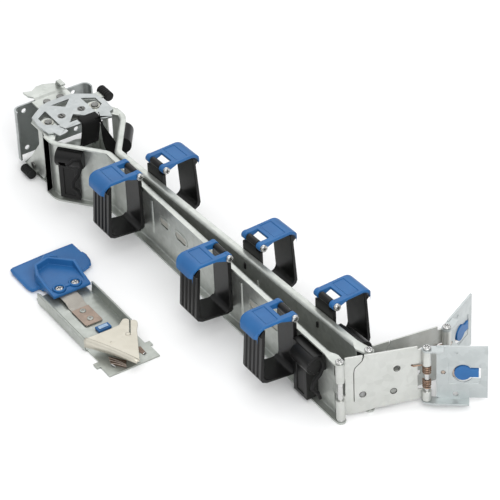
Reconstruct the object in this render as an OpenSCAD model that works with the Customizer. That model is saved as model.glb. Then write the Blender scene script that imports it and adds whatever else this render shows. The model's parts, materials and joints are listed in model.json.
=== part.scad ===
// Server cable management arm, folded, with its separate support bracket.
// Two channel arms carry snap-shut cable baskets and turn in a shared elbow.
// A link and a sprung rail tab with a push latch hang on the end of each arm.
// X runs from the elbow to the links, Y across the two arms and Z up.

/* [Arms] */
// Distance from the elbow pin to the link pin of an arm
arm_len = 380; // [350:1:400]
// Height of the channel
arm_h = 53; // [51:0.5:56]
// Sheet thickness of the arms, the elbow and the rail tabs
sheet = 1.5; // [1.3:0.1:1.6]
// Outer radius of the folded edges
fold_r = 2.5; // [2:0.1:3]
// Width of the folded edges
flange_w = 5.7; // [5.2:0.1:6]
// Step from the elbow pins in to the link pins
pin_step = 18.5; // [17:0.5:19]
// Back face of the front channel, measured in from its link pin
front_web = 2.7; // [2:0.1:3.2]
// Back face of the rear channel, measured in from its link pin
rear_web = 4.8; // [4.4:0.1:4.9]
// Angle at which the rear arm stands open
rear_open = 2.9; // [2.9:0.1:6]
// Slope of the offset near the elbow
flare_turn = 38; // [34:1:40]

/* [Elbow] */
// Distance between the two elbow pins
elbow_span = 42; // [41:0.5:44]
// Elbow pin diameter
elbow_pin_d = 5; // [4:0.1:6]
// Reach of the elbow behind its pins
elbow_back = 38; // [37:0.5:42]
// Half width of the elbow over its side walls
elbow_half = 29.5; // [29:0.25:31]
// Width of the back plate
back_w = 69; // [64:0.5:72]
// Hole diameter in the back plate
back_hole_d = 4.2; // [3:0.1:5]
// Hole spacing across the back plate
back_pitch_y = 45; // [42:0.5:50]
// Hole spacing up the back plate
back_pitch_z = 35; // [32:0.5:36]
// Diameter of the rubber buffers
buffer_d = 8.4; // [7:0.1:8.8]
// Length of the rubber buffers
buffer_len = 15; // [13:0.5:18]

/* [Links] */
// Pin to pin length of the front link
front_link_len = 63; // [58:0.5:68]
// Pin to pin length of the rear link
rear_link_len = 61; // [56:0.5:66]
// Direction of the front link at rest
front_link_turn = 70.8; // [64:0.1:72]
// Direction of the rear link at rest
rear_link_turn = 81.5; // [80:0.1:86]
// Sheet thickness of the links
link_sheet = 1.2; // [1:0.1:1.4]
// Hinge pin diameter
pin_d = 4; // [3:0.1:4.4]
// Radial clearance of a hinge pin
pin_gap = 0.05; // [0.03:0.01:0.08]
// Hole diameter in the links
link_hole_d = 4.5; // [3:0.1:6]

/* [Rail tabs] */
// Length of a rail tab from its hinge pin
tab_len = 42.9; // [40:0.1:48]
// Direction of the front rail tab at rest
front_tab_turn = 53.3; // [50:0.1:60]
// Direction of the rear rail tab at rest
rear_tab_turn = 117; // [112:0.5:122]
// Radius of the push button
button_r = 6.2; // [5:0.1:6.6]
// Hole diameter near the tab's lower edge
tab_hole_d = 4; // [3:0.1:4.5]

/* [Baskets] */
// Places of the front baskets, measured from the elbow pin
front_basket_a = 107.2; // [104:0.1:112]
// Place of the middle front basket
front_basket_b = 233.7; // [220:0.1:245]
// Distance of the last front basket from the link pin
front_basket_end = 59.8; // [57:0.1:68]
// Places of the rear baskets, measured from the elbow pin
rear_basket_a = 111.1; // [104:0.1:114]
// Place of the middle rear basket
rear_basket_b = 237.1; // [220:0.1:245]
// Distance of the last rear basket from the link pin
rear_basket_end = 54; // [53:0.1:68]
// Length of a basket along its arm
basket_w = 24; // [23:0.5:27]
// Depth of a basket out from the arm
basket_depth = 32.3; // [29:0.1:35]
// Underside of a basket above the base of the channel
basket_low = 14.5; // [12:0.5:17]
// Wall thickness of a basket
basket_wall = 3; // [2.4:0.1:3.4]
// Height of the lid hinge above the base of the channel
lid_pin_z = 64.5; // [63:0.5:67]
// Lid hinge pin diameter
lid_pin_d = 2.6; // [2:0.1:3]
// Width of a lid
lid_w = 23; // [21:0.5:24]
// Thickness of a lid
lid_t = 2.4; // [2:0.1:2.6]

/* [Support bracket] */
// Length of the tray
tray_len = 76; // [74:1:84]
// Width of the tray
tray_w = 42; // [40:0.5:44]
// Height of the tray's side walls
tray_h = 10; // [9:0.5:12]
// Sheet thickness of the tray
tray_sheet = 1.2; // [1:0.1:1.4]
// Distance from the front arm's link pin across to the tray's middle
tray_off_y = 88; // [86:1:110]
// Distance from the front arm's link pin back to the tray's end
tray_off_x = 173; // [150:1:190]

/* [Hidden] */

$fn = 48;
seat_gap = 0.3;                              // play between stacked sheets
edge = 0.02;                                 // overshoot of cutting shapes

// Colours of the finishes
zinc = "lightgray";
bright_zinc = "gainsboro";
dark_zinc = "dimgray";
steel = "silver";
blue_plastic = "steelblue";
black_plastic = [0.13, 0.13, 0.13];
rubber = [0.08, 0.08, 0.08];
spring_copper = "rosybrown";
beige_zinc = "lightyellow";

// Levels of the stacked sheets at the elbow
ear_top = arm_h;                             // upper face of an arm's upper ear
ear_low = sheet + seat_gap;                  // lower face of an arm's lower ear
frame_top = arm_h - sheet - seat_gap;        // upper face of the elbow frame
cover_low = arm_h + seat_gap;                // lower face of the truss cover

// Pin positions
E1 = [-arm_len, -pin_step];
E2 = [-arm_len, elbow_span - pin_step];
function turned(v, a) = [v[0] * cos(a) - v[1] * sin(a), v[0] * sin(a) + v[1] * cos(a)];
P1 = [0, 0];
P2 = E2 + turned([arm_len, -pin_step], rear_open);
P3 = P1 + turned([front_link_len, 0], front_link_turn);
P4 = P2 + turned([rear_link_len, 0], rear_link_turn);

// Hinge sizes
pin_r = pin_d / 2;
bore_r = pin_r + pin_gap;
roll_gap = 0.1;                              // keeps the flat clear of the bore
knuckle_in = bore_r + roll_gap;              // inner face of a hinge's flat
knuckle_r = knuckle_in + link_sheet;         // outer radius of a knuckle
head_r = pin_r + 1;
head_t = 1.2;

// Overall box, for the origin at the middle of the base
tongue_len = 14;
x_low = -arm_len - elbow_back - tongue_len;
tab_corner = P3 + turned([tab_len, knuckle_r - sheet], front_tab_turn);
x_high = tab_corner[0];
foot_half = 24;                              // half width of the foot plate over its side tabs
y_low = -tray_off_y - foot_half;
rear_corner = P4 + turned([tab_len, knuckle_r - sheet], rear_tab_turn);
y_high = rear_corner[1];
base = [-(x_low + x_high) / 2, -(y_low + y_high) / 2, 0];

// ------------------------------------------------------------ folded sheet
// Points of an arc of radius r about c, from angle a0 to angle a1
arc_steps = 4;
function arc(c, r, a0, a1) =
    [for (i = [0 : arc_steps]) c + r * [cos(a0 + (a1 - a0) * i / arc_steps), sin(a0 + (a1 - a0) * i / arc_steps)]];

// Outline of a channel's section: back face at x = 0, edges folded towards +x
function channel_section(top_w, low_w) = concat(
    [[low_w, 0], [low_w, sheet]],
    arc([fold_r, fold_r], fold_r - sheet, 270, 180),
    arc([fold_r, arm_h - fold_r], fold_r - sheet, 180, 90),
    [[top_w, arm_h - sheet], [top_w, arm_h]],
    arc([fold_r, arm_h - fold_r], fold_r, 90, 180),
    arc([fold_r, fold_r], fold_r, 180, 270));

// Stations of a path: place and direction after each [run, turn, radius] step
bend_steps = 6;
function bend(p, a, turn, r) = [for (i = [1 : bend_steps])
    let (b = turn * i / bend_steps, side = turn < 0 ? -r : r)
    [p + turned([abs(side) * sin(abs(b)), side * (1 - cos(b))], a), a + b]];
function path(steps, p = [0, 0], a = 0, i = 0) =
    i == len(steps) ? [[p, a]] :
    let (q = p + turned([steps[i][0], 0], a))
    steps[i][1] == 0 ? concat([[p, a]], path(steps, q, a, i + 1)) :
    let (curve = bend(q, a, steps[i][1], steps[i][2]), last = curve[bend_steps - 1])
    concat([[p, a], [q, a]], [for (k = [0 : bend_steps - 2]) curve[k]],
        path(steps, last[0], last[1], i + 1));

// Sweeps a section outline along the stations; its x points to the left of travel
module sweep(section, stations) {
    n = len(section);
    last = len(stations) - 1;
    points = [for (s = stations, p = section)
        concat(s[0] + turned([0, p[0]], s[1]), [p[1]])];
    polyhedron(points, concat(
        [[for (i = [0 : n - 1]) i]],
        [for (k = [0 : last - 1], i = [0 : n - 1])
            let (j = (i + 1) % n)
            [k * n + i, (k + 1) * n + i, (k + 1) * n + j, k * n + j]],
        [[for (i = [n - 1 : -1 : 0]) last * n + i]]));
}

// A hole with round ends, its long axis along x
module slot_2d(length, width) {
    square([length - width, width], center = true);
    for (side = [-1, 1]) {
        translate([side * (length - width) / 2, 0]) circle(d = width);
    }
}

// A flat shape drawn in x and z, given a thickness from y = y0 to y = y1
module upright(y0, y1) {
    translate([0, y1, 0]) rotate([90, 0, 0]) linear_extrude(y1 - y0) children();
}

// A rectangle with round corners
module round_rect(w, h, r) {
    translate([r, 0]) square([w - 2 * r, h]);
    translate([0, r]) square([w, h - 2 * r]);
    for (x = [r, w - r], y = [r, h - r]) {
        translate([x, y]) circle(r);
    }
}

// ------------------------------------------------------------ placing
// Arm frame: elbow pin at the origin, x to the link, y out to the baskets
module on_front_arm() {
    translate([base[0] + E1[0], base[1] + E1[1], 0]) mirror([0, 1, 0]) children();
}

module on_rear_arm() {
    translate([base[0] + E2[0], base[1] + E2[1], 0]) rotate([0, 0, rear_open]) children();
}

// Elbow frame: middle of the pin line at the origin
module on_elbow() {
    translate([base[0] - arm_len, base[1] + (E1[1] + E2[1]) / 2, 0]) children();
}

// Hinge frames: pin at the origin, x along the piece
module at_pin(p, turn) {
    translate([base[0] + p[0], base[1] + p[1], 0]) rotate([0, 0, turn]) children();
}

// ------------------------------------------------------------ arms
flare_r = 12;                                // centre line bend of the flare
end_run = 7;                                 // straight end beside the elbow ear
ear_start = 13.9;                            // end of the channel, from the elbow pin
ear_side = 6.5;                              // side step of that end from the pin line

function web_y(web) = -pin_step - web;
// Slope length that carries the back face from the straight out to ear_side
function slope_run(web) =
    (ear_side - web_y(web) - 2 * flare_r * (1 - cos(flare_turn))) / sin(flare_turn);
function flare_x(web) =
    ear_start + end_run + 2 * flare_r * sin(flare_turn) + slope_run(web) * cos(flare_turn);

link_setback = 9.5;
link_end = arm_len - link_setback;            // where the full channel stops
web_spare = 2;                               // stretch of web that is cut back beside the finger

slot_z_low = 11.8;
slot_z_high = 42.5;
slot_h = 5.6;
slot_w = 2.4;

module arm_cuts(baskets, web) {
    y = web_y(web);
    // slots for the baskets' hooks
    for (x = baskets, z = [slot_z_low, slot_z_high]) {
        translate([x - slot_w / 2, y - edge, z]) cube([slot_w, sheet + 2 * edge, slot_h]);
    }
    // pairs of cable tie slots and a locating hole beside the first two baskets
    for (x = [baskets[0] + 33.5, baskets[1] + 33.5]) {
        upright_cut(y) translate([x, 30.5]) slot_2d(13, 6.5);
        upright_cut(y) translate([x + 24, 30.5]) slot_2d(15, 6.5);
    }
    upright_cut(y) translate([baskets[1] + 28.7, 29.5]) circle(d = 4);
}

module upright_cut(y) {
    upright(y - 1, y + sheet + 1) children();
}

module pressed_rims(baskets, web) {
    y = web_y(web) + sheet;
    for (x = [baskets[0] + 33.5, baskets[1] + 33.5]) {
        upright(y - 0.2, y + 0.5) translate([x, 30.5]) slot_2d(17, 10.5);
        upright(y - 0.2, y + 0.5) translate([x + 24, 30.5]) slot_2d(19, 10.5);
    }
    for (x = [baskets[0] + 15.5, baskets[1] + 15.5]) {
        intersection() {
            translate([x, y - 2.2, 12]) cylinder(r = 3, h = 30);
            translate([x - 4, y - 0.2, 11]) cube([8, 2, 32]);
        }
    }
}

// Ear at one end of an elbow pin, a hair thinner than the sheet that it joins
skin = 0.03;
module elbow_ear(z, inner_side) {
    ear_r = wall_in - elbow_span / 2 - seat_gap;
    translate([0, 0, z + skin]) linear_extrude(sheet - 2 * skin) difference() {
        union() {
            circle(ear_r);
            polygon([
                [0, ear_r], [ear_start - 1, inner_side], [ear_start + 8, inner_side],
                [ear_start + 9, ear_side + 0.5], [ear_start - 0.5, ear_side - 6], [4, -6.3]]);
        }
        circle(elbow_pin_d / 2 + pin_gap);
    }
}

// Ear over one end of a link pin
module link_ear(z, web) {
    translate([arm_len, -pin_step, z]) linear_extrude(sheet) difference() {
        union() {
            circle(knuckle_r + 0.4);
            polygon([
                [-link_setback - 6, fold_r - web], [-link_setback - 1, -web - 0.6],
                [-link_setback + 2, -web - 1.5], [1.8, -knuckle_r + 0.05], [0.5, knuckle_r + 0.35],
                [-link_setback + 2.5, flange_w - web + 1.2], [-link_setback - 6, flange_w - web - 0.2]]);
        }
        circle(bore_r);
    }
}

module channel_arm(web, baskets) {
    difference() {
        union() {
            sweep(channel_section(flange_w, flange_w + 1), path([
                [end_run, -flare_turn, flare_r],
                [slope_run(web), flare_turn, flare_r],
                [link_end + web_spare - flare_x(web), 0, 0]], [ear_start, ear_side]));
            pressed_rims(baskets, web);
            // fingers of the web between the knuckles of the link hinge
            translate([link_end - 0.5, web_y(web) - skin, knuckle_mid_low + seat_gap])
                cube([link_setback - knuckle_r + 0.5, sheet + 2 * skin,
                    knuckle_mid_high - knuckle_mid_low - 2 * seat_gap]);
            elbow_ear(ear_top - sheet, ear_side + flange_w - 1);
            elbow_ear(ear_low, ear_side + sheet - 0.1);
            link_ear(arm_h - sheet, web);
            link_ear(0, web);
        }
        arm_cuts(baskets, web);
        // the web stops here, and leaves the ears and its finger standing
        for (z = [[sheet, knuckle_mid_low + seat_gap], [knuckle_mid_high - seat_gap, arm_h - sheet]]) {
            translate([link_end, web_y(web) - 1, z[0]])
                cube([web_spare + 1, flange_w + 3, z[1] - z[0]]);
        }
    }
}

// Levels of the link hinge's knuckles
knuckle_low = sheet + 1.9;
knuckle_mid_low = 20;
knuckle_mid_high = 36;
knuckle_high = arm_h - sheet - seat_gap;

front_baskets = [front_basket_a, front_basket_b, arm_len - front_basket_end];
rear_baskets = [rear_basket_a, rear_basket_b, arm_len - rear_basket_end];

module front_arm() {
    color(zinc) on_front_arm() channel_arm(front_web, front_baskets);
}

module rear_arm() {
    color(zinc) on_rear_arm() channel_arm(rear_web, rear_baskets);
}

// ------------------------------------------------------------ elbow
frame_nose = 5;                              // reach of the frame in front of the pins
frame_tail = 36;                             // reach of the frame's top behind the pins
tail_half = 16;                              // half width of that tail
wall_back = -2;                              // rear edge of a side wall's upper part
lip_low = frame_top - 2.6;                   // lower edge of the lips along the frame's tail
wall_in = elbow_half - sheet;                // inner face of a side wall
wall_low = ear_low + sheet + seat_gap;       // lower edge of a side wall, clear of the ear
tongue_low = frame_top - 0.2;                // lower face of the tongue
buffer_x = [-14, -14.5];                     // middles of the upper and lower buffers
buffer_y = [elbow_half + buffer_d / 2 + 4.8, elbow_half + buffer_d / 2 + 1.4];
buffer_z = [frame_top - sheet / 2, wall_low + 0.8];
buffer_tab_w = 9;
cover_screw_y = 8.9;
lug_screw = [-29, 6];
side_tab = [-21, -9];                        // the bottom plate's side tabs, along x
side_screw_z = 8;
screw_r = 1.5;

// Section of the frame across the arms, an open box without a floor
module frame_section() {
    difference() {
        union() {
            translate([-elbow_half, 0]) square([2 * elbow_half, frame_top - fold_r]);
            translate([-elbow_half + fold_r, 0]) square([2 * (elbow_half - fold_r), frame_top]);
            for (side = [-1, 1]) {
                translate([side * (elbow_half - fold_r), frame_top - fold_r]) circle(fold_r);
            }
        }
        translate([-wall_in, -1]) square([2 * wall_in, frame_top - sheet + 1]);
    }
}

// Plan of the tongue, one corner of which is drawn out to a point
tongue_plan = [
    [-frame_tail + 1, -12.5], [-elbow_back - 2, -12.5], [-elbow_back - 5.3, -15.2],
    [-elbow_back - 12.7, -15.8], [-elbow_back - 10.3, -9.1],
    [-elbow_back - tongue_len, -3], [-elbow_back - tongue_len, 3],
    [-elbow_back - 9.5, 12.3], [-elbow_back - 1, 15.5], [-frame_tail + 1, 15.5]];
tongue_tab = [10.7, 14.7];                   // raised tab at one edge of the tongue, in y
tongue_tab_rise = 5;

// Tongue of the frame's top that passes over the back plate
module tongue() {
    intersection() {
        upright(-20, 20) polygon([
            [-frame_tail + 1, frame_top - sheet], [-frame_tail, frame_top - sheet],
            [-elbow_back, tongue_low], [-elbow_back - tongue_len, tongue_low],
            [-elbow_back - tongue_len, tongue_low + sheet],
            [-elbow_back, tongue_low + sheet], [-frame_tail, frame_top],
            [-frame_tail + 1, frame_top]]);
        translate([0, 0, frame_top - 5]) linear_extrude(10) polygon(tongue_plan);
    }
    upright(tongue_tab[0], tongue_tab[1]) polygon([
        [-elbow_back - 6, tongue_low + sheet / 2], [-elbow_back - 4.5, tongue_low + tongue_tab_rise],
        [-frame_tail + 1, tongue_low + tongue_tab_rise],
        [-frame_tail + 1, tongue_low + tongue_tab_rise + sheet],
        [-elbow_back - 5.5, tongue_low + tongue_tab_rise + sheet],
        [-elbow_back - 7.6, tongue_low + sheet / 2]]);
}

module elbow_frame() {
    color(zinc) on_elbow() union() {
        folded_frame();
        // tab that carries the upper buffer
        translate([buffer_x[0] - buffer_tab_w / 2, tail_half + 6, frame_top - sheet])
            cube([buffer_tab_w, buffer_y[0] - tail_half - 4, sheet]);
    }
}

module folded_frame() {
    difference() {
        union() {
            intersection() {
                translate([-frame_tail, 0, 0]) rotate([90, 0, 90])
                    linear_extrude(frame_tail + frame_nose) frame_section();
                upright(-elbow_half - 1, elbow_half + 1) polygon([
                    [frame_nose, frame_top + 1], [frame_nose, 12], [frame_nose - 4, wall_low],
                    [-27, wall_low], [wall_back - 1, 34], [wall_back, 36], [wall_back, lip_low],
                    [-frame_tail, lip_low], [-frame_tail, frame_top + 1]]);
            }
            tongue();
            // tab that carries the lower buffer
            translate([buffer_x[1] - buffer_tab_w / 2, -buffer_y[1] - 2, buffer_z[1] - sheet / 2])
                cube([buffer_tab_w, buffer_y[1] - wall_in + 2, sheet]);
        }
        // corners cut away along the truss cover's edges, down to a narrow tail
        for (side = [-1, 1]) {
            translate([0, 0, lip_low - 1]) linear_extrude(10) polygon([
                [cover_half[2][0] - 1, side * (elbow_half + 1)],
                [cover_half[2][0] - 1, side * (elbow_half - 1)],
                [cover_half[1][0], side * tail_half], [-frame_tail - 1, side * tail_half],
                [-frame_tail - 1, side * (elbow_half + 1)]]);
        }
        for (side = [-1, 1]) {
            translate([0, side * elbow_span / 2, frame_top - sheet - 1])
                cylinder(r = elbow_pin_d / 2, h = sheet + 2);
            translate([0, side * cover_screw_y, frame_top - sheet - 1])
                cylinder(r = screw_r, h = sheet + 2);
            translate([lug_screw[0], side * lug_screw[1], frame_top - sheet - 1])
                cylinder(r = screw_r, h = sheet + 2);
            upright(side * elbow_half - 2, side * elbow_half + 2)
                translate([(side_tab[0] + side_tab[1]) / 2, side_screw_z]) circle(screw_r);
        }
    }
}

module elbow_bottom_plate() {
    color(zinc) on_elbow() difference() {
        union() {
            linear_extrude(sheet) union() {
                polygon([
                    [0, -elbow_span / 2 - 7.4], [-4, -elbow_half], [-32, -elbow_half + 1],
                    [-36, -20], [-36, 20], [-32, elbow_half - 1], [-4, elbow_half],
                    [0, elbow_span / 2 + 7.4], [4, elbow_span / 2], [2, 10],
                    [2, -10], [4, -elbow_span / 2]]);
                for (side = [-1, 1]) {
                    translate([0, side * elbow_span / 2]) circle(7.5);
                }
            }
            for (side = [-1, 1]) {
                translate([side_tab[0], side * (wall_in - sheet / 2) - sheet / 2, 0])
                    cube([side_tab[1] - side_tab[0], sheet, 13]);
            }
        }
        for (side = [-1, 1]) {
            translate([0, side * elbow_span / 2, -1])
                cylinder(r = elbow_pin_d / 2, h = sheet + 2);
            upright(side * wall_in - 2, side * wall_in + 2)
                translate([(side_tab[0] + side_tab[1]) / 2, side_screw_z]) circle(screw_r);
        }
        // cable opening in the floor
        translate([-20, 0, -1]) linear_extrude(sheet + 2) slot_2d(22, 16);
    }
}

// Half outlines of the truss cover and of its windows, for y > 0
cover_front = 17.6;
cover_half = [
    [-24, 8], [-22.5, 14.5], [-12, 29], [1.5, 30.5], [14.7, 29.5], [16.4, 25.3],
    [23.3, 23.6], [22.4, 17.5], [20.9, 14.7], [cover_front - 0.4, 15.1], [cover_front, 7.6]];
pin_window = [[-13.5, 16.2], [-7.5, 25.8], [3, 25.8], [10.5, 16.2]];
back_window = [[-18, 8.2], [-9.5, 0]];
front_window = [[11.5, 8.3], [2.7, 0]];
cover_slit = [[cover_front - 0.2, 15.9], [12, 17.9], [12, 17.1], [cover_front - 0.5, 14.9]];

function mirrored(points) =
    concat(points, [for (i = [len(points) - 1 : -1 : 0]) [points[i][0], -points[i][1]]]);
function flipped(points) = [for (p = points) [p[0], -p[1]]];

module elbow_top_plate() {
    color(bright_zinc) on_elbow() translate([0, 0, cover_low]) linear_extrude(sheet)
        difference() {
            polygon(mirrored(cover_half));
            polygon([back_window[0], back_window[1], flipped(back_window)[0]]);
            polygon([front_window[0], front_window[1], flipped(front_window)[0]]);
            for (cut = [pin_window, cover_slit]) {
                polygon(cut);
                polygon(flipped(cut));
            }
            for (side = [-1, 1]) {
                translate([0, side * cover_screw_y]) circle(screw_r);
            }
        }
}

bracket_y = [-back_w / 2 + 2, back_w / 2 + 2];
bracket_low = 4;
bracket_bend = 6;
bracket_top = frame_top - sheet;             // meets its lug under the frame's top
bracket_mid_z = (bracket_low + bracket_top) / 2;
bracket_flange = 2.5;                        // flat of its folded edges past the bend
bracket_reach = -elbow_back + bracket_bend + bracket_flange - sheet;

module elbow_back_bracket() {
    color(dark_zinc) on_elbow() difference() {
        union() {
            translate([-elbow_back - sheet, bracket_y[0], bracket_low]) difference() {
                linear_extrude(bracket_top - bracket_low)
                    difference() {
                        intersection() {
                            round_rect(24, back_w, bracket_bend);
                            square([bracket_bend + bracket_flange, back_w]);
                        }
                        translate([sheet, sheet])
                            round_rect(24, back_w - 2 * sheet, bracket_bend - sheet);
                    }
            }
            // lug under the frame's top
            translate([-elbow_back - sheet, -10, frame_top - 2 * sheet])
                cube([elbow_back + sheet - 23, 20, sheet]);
        }
        for (side = [-1, 1], up = [-1, 1]) {
            translate([-elbow_back - 5, side * back_pitch_y / 2, bracket_mid_z + up * back_pitch_z / 2])
                rotate([0, 90, 0]) cylinder(r = back_hole_d / 2, h = 9);
        }
        for (side = [-1, 1]) {
            translate([lug_screw[0], side * lug_screw[1], frame_top - 3 * sheet])
                cylinder(r = screw_r, h = 3 * sheet);
        }
    }
}

// A rivet: shank from z0 to z1 with a head standing on z1
module rivet(r, z0, z1, head, head_h) {
    translate([0, 0, z0]) cylinder(r = r, h = z1 - z0 + head_h / 2);
    translate([0, 0, z1]) cylinder(r = head, h = head_h);
}

washer_t = 0.6;
washer_r = 4.4;
elbow_head_r = 3;
elbow_head_t = 0.8;

module elbow_pins() {
    color(dark_zinc) on_elbow() for (side = [-1, 1]) {
        translate([0, side * elbow_span / 2, 0]) {
            rivet(elbow_pin_d / 2, frame_top - sheet, ear_top + washer_t, elbow_head_r, elbow_head_t);
            translate([0, 0, frame_top - sheet - 1.2]) cylinder(r = 4, h = 1.2);
            rivet(elbow_pin_d / 2, 0.1, ear_low + sheet + washer_t, elbow_head_r, elbow_head_t);
        }
    }
}

module elbow_washers() {
    color(beige_zinc) on_elbow() for (side = [-1, 1], z = [ear_top, ear_low + sheet]) {
        translate([0, side * elbow_span / 2, z]) difference() {
            cylinder(r = washer_r, h = washer_t);
            translate([0, 0, -1]) cylinder(r = elbow_pin_d / 2 + pin_gap, h = 3);
        }
    }
}

module elbow_screws() {
    color(steel) on_elbow() {
        for (side = [-1, 1]) {
            // through the cover, with a collar that spaces it from the frame
            translate([0, side * cover_screw_y, 0]) {
                rivet(screw_r, frame_top - sheet - 2, cover_low + sheet, 3.2, 1.4);
                translate([0, 0, frame_top]) cylinder(r = 3, h = cover_low - frame_top);
            }
            // through the lug
            translate([lug_screw[0], side * lug_screw[1], 0])
                rivet(screw_r, frame_top - 2 * sheet - 1.5, frame_top, 3, 1.2);
            // through the side walls
            translate([(side_tab[0] + side_tab[1]) / 2, 0, side_screw_z])
                rotate([side * -90, 0, 0])
                    rivet(screw_r, wall_in - sheet - 0.5, elbow_half, 2.8, 1.2);
        }
    }
}

// Ribbed rubber sleeve on a tab
module buffer(tab_z) {
    difference() {
        rotate([0, 90, 0]) union() {
            translate([0, 0, -buffer_len / 2]) cylinder(r = buffer_d / 2 - 0.7, h = buffer_len);
            for (i = [0 : 5]) {
                translate([0, 0, -buffer_len / 2 + i * buffer_len / 6 + 0.5])
                    cylinder(r = buffer_d / 2, h = buffer_len / 6 - 1);
            }
        }
        children();
    }
}

module upper_buffer() {
    color(rubber) on_elbow() translate([buffer_x[0], buffer_y[0], buffer_z[0]]) buffer()
        translate([-buffer_tab_w / 2, -buffer_d, -sheet / 2]) cube([buffer_tab_w, buffer_d + 2, sheet]);
}

module lower_buffer() {
    color(rubber) on_elbow() translate([buffer_x[1], -buffer_y[1], buffer_z[1]]) buffer()
        translate([-buffer_tab_w / 2, -2, -sheet / 2]) cube([buffer_tab_w, buffer_d + 2, sheet]);
}

// Hook-and-loop strap hooked over the front of the truss cover
strap_t = 1.2;
strap_y = [-1, 15];
strap_low = 28;
strap_hook = 5;                              // how far it lies on the cover
strap_slant = 6.5;                           // how far its end hangs back
module elbow_strap() {
    top = cover_low + sheet;
    color(black_plastic) on_elbow() upright(strap_y[0], strap_y[1]) polygon([
        [cover_front - strap_hook, top], [cover_front + 0.1, top],
        [cover_front + 0.1, top - sheet - 1], [cover_front - strap_slant, strap_low],
        [cover_front - strap_slant + strap_t, strap_low],
        [cover_front + 0.1 + strap_t, top - sheet - 1], [cover_front + 0.1 + strap_t, top + 0.6],
        [cover_front - 0.5 + strap_t, top + strap_t], [cover_front - strap_hook, top + strap_t]]);
}

// ------------------------------------------------------------ links
coil_low = [17.4, 25.2];                     // levels of the lower torsion spring
coil_high = [30.4, 37.4];                    // levels of the upper torsion spring
tab_ear_low = 50.5;                          // lower face of the tab's upper ear
tab_foot_low = 4.7;                          // lower face of the tab's foot
link_knuckles = [[knuckle_low, knuckle_mid_low], [knuckle_mid_high, knuckle_high]];
tab_knuckles = [[tab_foot_low + sheet + seat_gap, 14.7], [37.8, tab_ear_low - seat_gap]];
spring_reach = 10.3;                         // from the pin back to the spring's hole
coil_r = 2.75;
wire_r = 0.45;

module link_outline(length) {
    polygon([
        [4.2, 3.5], [14, 2.9], [26, 4.8], [length - 6, 6], [length - 6, 53.3], [4.2, arm_h + 1]]);
    for (k = link_knuckles) {
        translate([0, k[0]]) square([5, k[1] - k[0]]);
    }
    for (k = tab_knuckles) {
        translate([length - 7, k[0]]) square([7, k[1] - k[0]]);
    }
}

// Relief slit beside the arm's knuckles, open at the top edge
module link_slit() {
    w = 0.6;
    translate([10.2, 13.8]) square([w, 26]);
    polygon([
        [10.2, 39.8], [10.8, 39.8], [11.4, 43.4], [16.9, 48.9], [18.2, 52.5], [18.6, 60],
        [17.2, 60], [17.2, 52.5], [16.3, 49.3], [11, 44]]);
}

module hinged_link(length, holes) {
    difference() {
        union() {
            upright(knuckle_in, knuckle_r) difference() {
                link_outline(length);
                link_slit();
                for (h = holes) {
                    translate(h) circle(link_hole_d / 2);
                }
                translate([length - spring_reach, coil_high[1]]) circle(0.8);
            }
            for (k = link_knuckles) {
                translate([0, 0, k[0]]) cylinder(r = knuckle_r, h = k[1] - k[0]);
            }
            for (k = tab_knuckles) {
                translate([length, 0, k[0]]) cylinder(r = knuckle_r, h = k[1] - k[0]);
            }
        }
        cylinder(r = bore_r, h = 2 * arm_h);
        translate([length, 0, 0]) cylinder(r = bore_r, h = 2 * arm_h);
    }
}

front_holes = [[16.8, 19.1], [39.3, 17.3], [41.8, 37]];

module front_link() {
    color(bright_zinc) at_pin(P1, front_link_turn) hinged_link(front_link_len, front_holes);
}

module rear_link() {
    color(bright_zinc) at_pin(P2, rear_link_turn) hinged_link(rear_link_len, front_holes);
}

// Riveted pin of a link hinge, with a collar that spaces the knuckle from the lower ear
module link_pin() {
    rivet(pin_r, 0.2, arm_h, head_r, head_t);
    translate([0, 0, sheet]) cylinder(r = head_r, h = knuckle_low - sheet - seat_gap);
}

module tab_pin() {
    rivet(pin_r, tab_foot_low + 0.2, tab_ear_low + sheet, head_r, head_t);
}

module front_link_pin() {
    color(steel) at_pin(P1, 0) link_pin();
}

module rear_link_pin() {
    color(steel) at_pin(P2, 0) link_pin();
}

module front_tab_pin() {
    color(steel) at_pin(P3, 0) tab_pin();
}

module rear_tab_pin() {
    color(steel) at_pin(P4, 0) tab_pin();
}

// ------------------------------------------------------------ torsion springs
function unit(v) = v / norm(v);

// Round tube through a list of points that never run straight up
module tube(points, r, sides) {
    n = len(points);
    rings = [for (i = [0 : n - 1])
        let (t = unit(points[min(i + 1, n - 1)] - points[max(i - 1, 0)]),
            u = unit(cross(t, [0, 0, 1])), v = cross(u, t))
        for (k = [0 : sides - 1])
            points[i] + r * (u * cos(360 * k / sides) + v * sin(360 * k / sides))];
    polyhedron(rings, concat(
        [[for (k = [sides - 1 : -1 : 0]) k]],
        [for (i = [0 : n - 2], k = [0 : sides - 1])
            let (j = (k + 1) % sides)
            [i * sides + k, i * sides + j, (i + 1) * sides + j, (i + 1) * sides + k]],
        [[for (k = [0 : sides - 1]) (n - 1) * sides + k]]));
}

steps_per_turn = 12;
coil_turns = 6;
leg_turn = 150;                              // where the coil leaves the pin, seen from above

// Coil about the hinge pin whose upper end runs back along the link to its hole
module torsion_spring(z0, z1) {
    count = coil_turns * steps_per_turn;
    coil = [for (i = [0 : count])
        let (a = leg_turn + 360 * (count - i) / steps_per_turn)
        [coil_r * cos(a), coil_r * sin(a), z0 + wire_r + (z1 - z0 - 2 * wire_r) * i / count]];
    leg_y = coil_r * sin(leg_turn);
    leg_z = z1 - wire_r;
    tube(concat(coil, [
        [-spring_reach + 1, leg_y, leg_z + 0.3],
        [-spring_reach, leg_y + 0.7, leg_z + 0.4],
        [-spring_reach, knuckle_r - 0.2, leg_z + 0.4]]), wire_r, 6);
}

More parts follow.
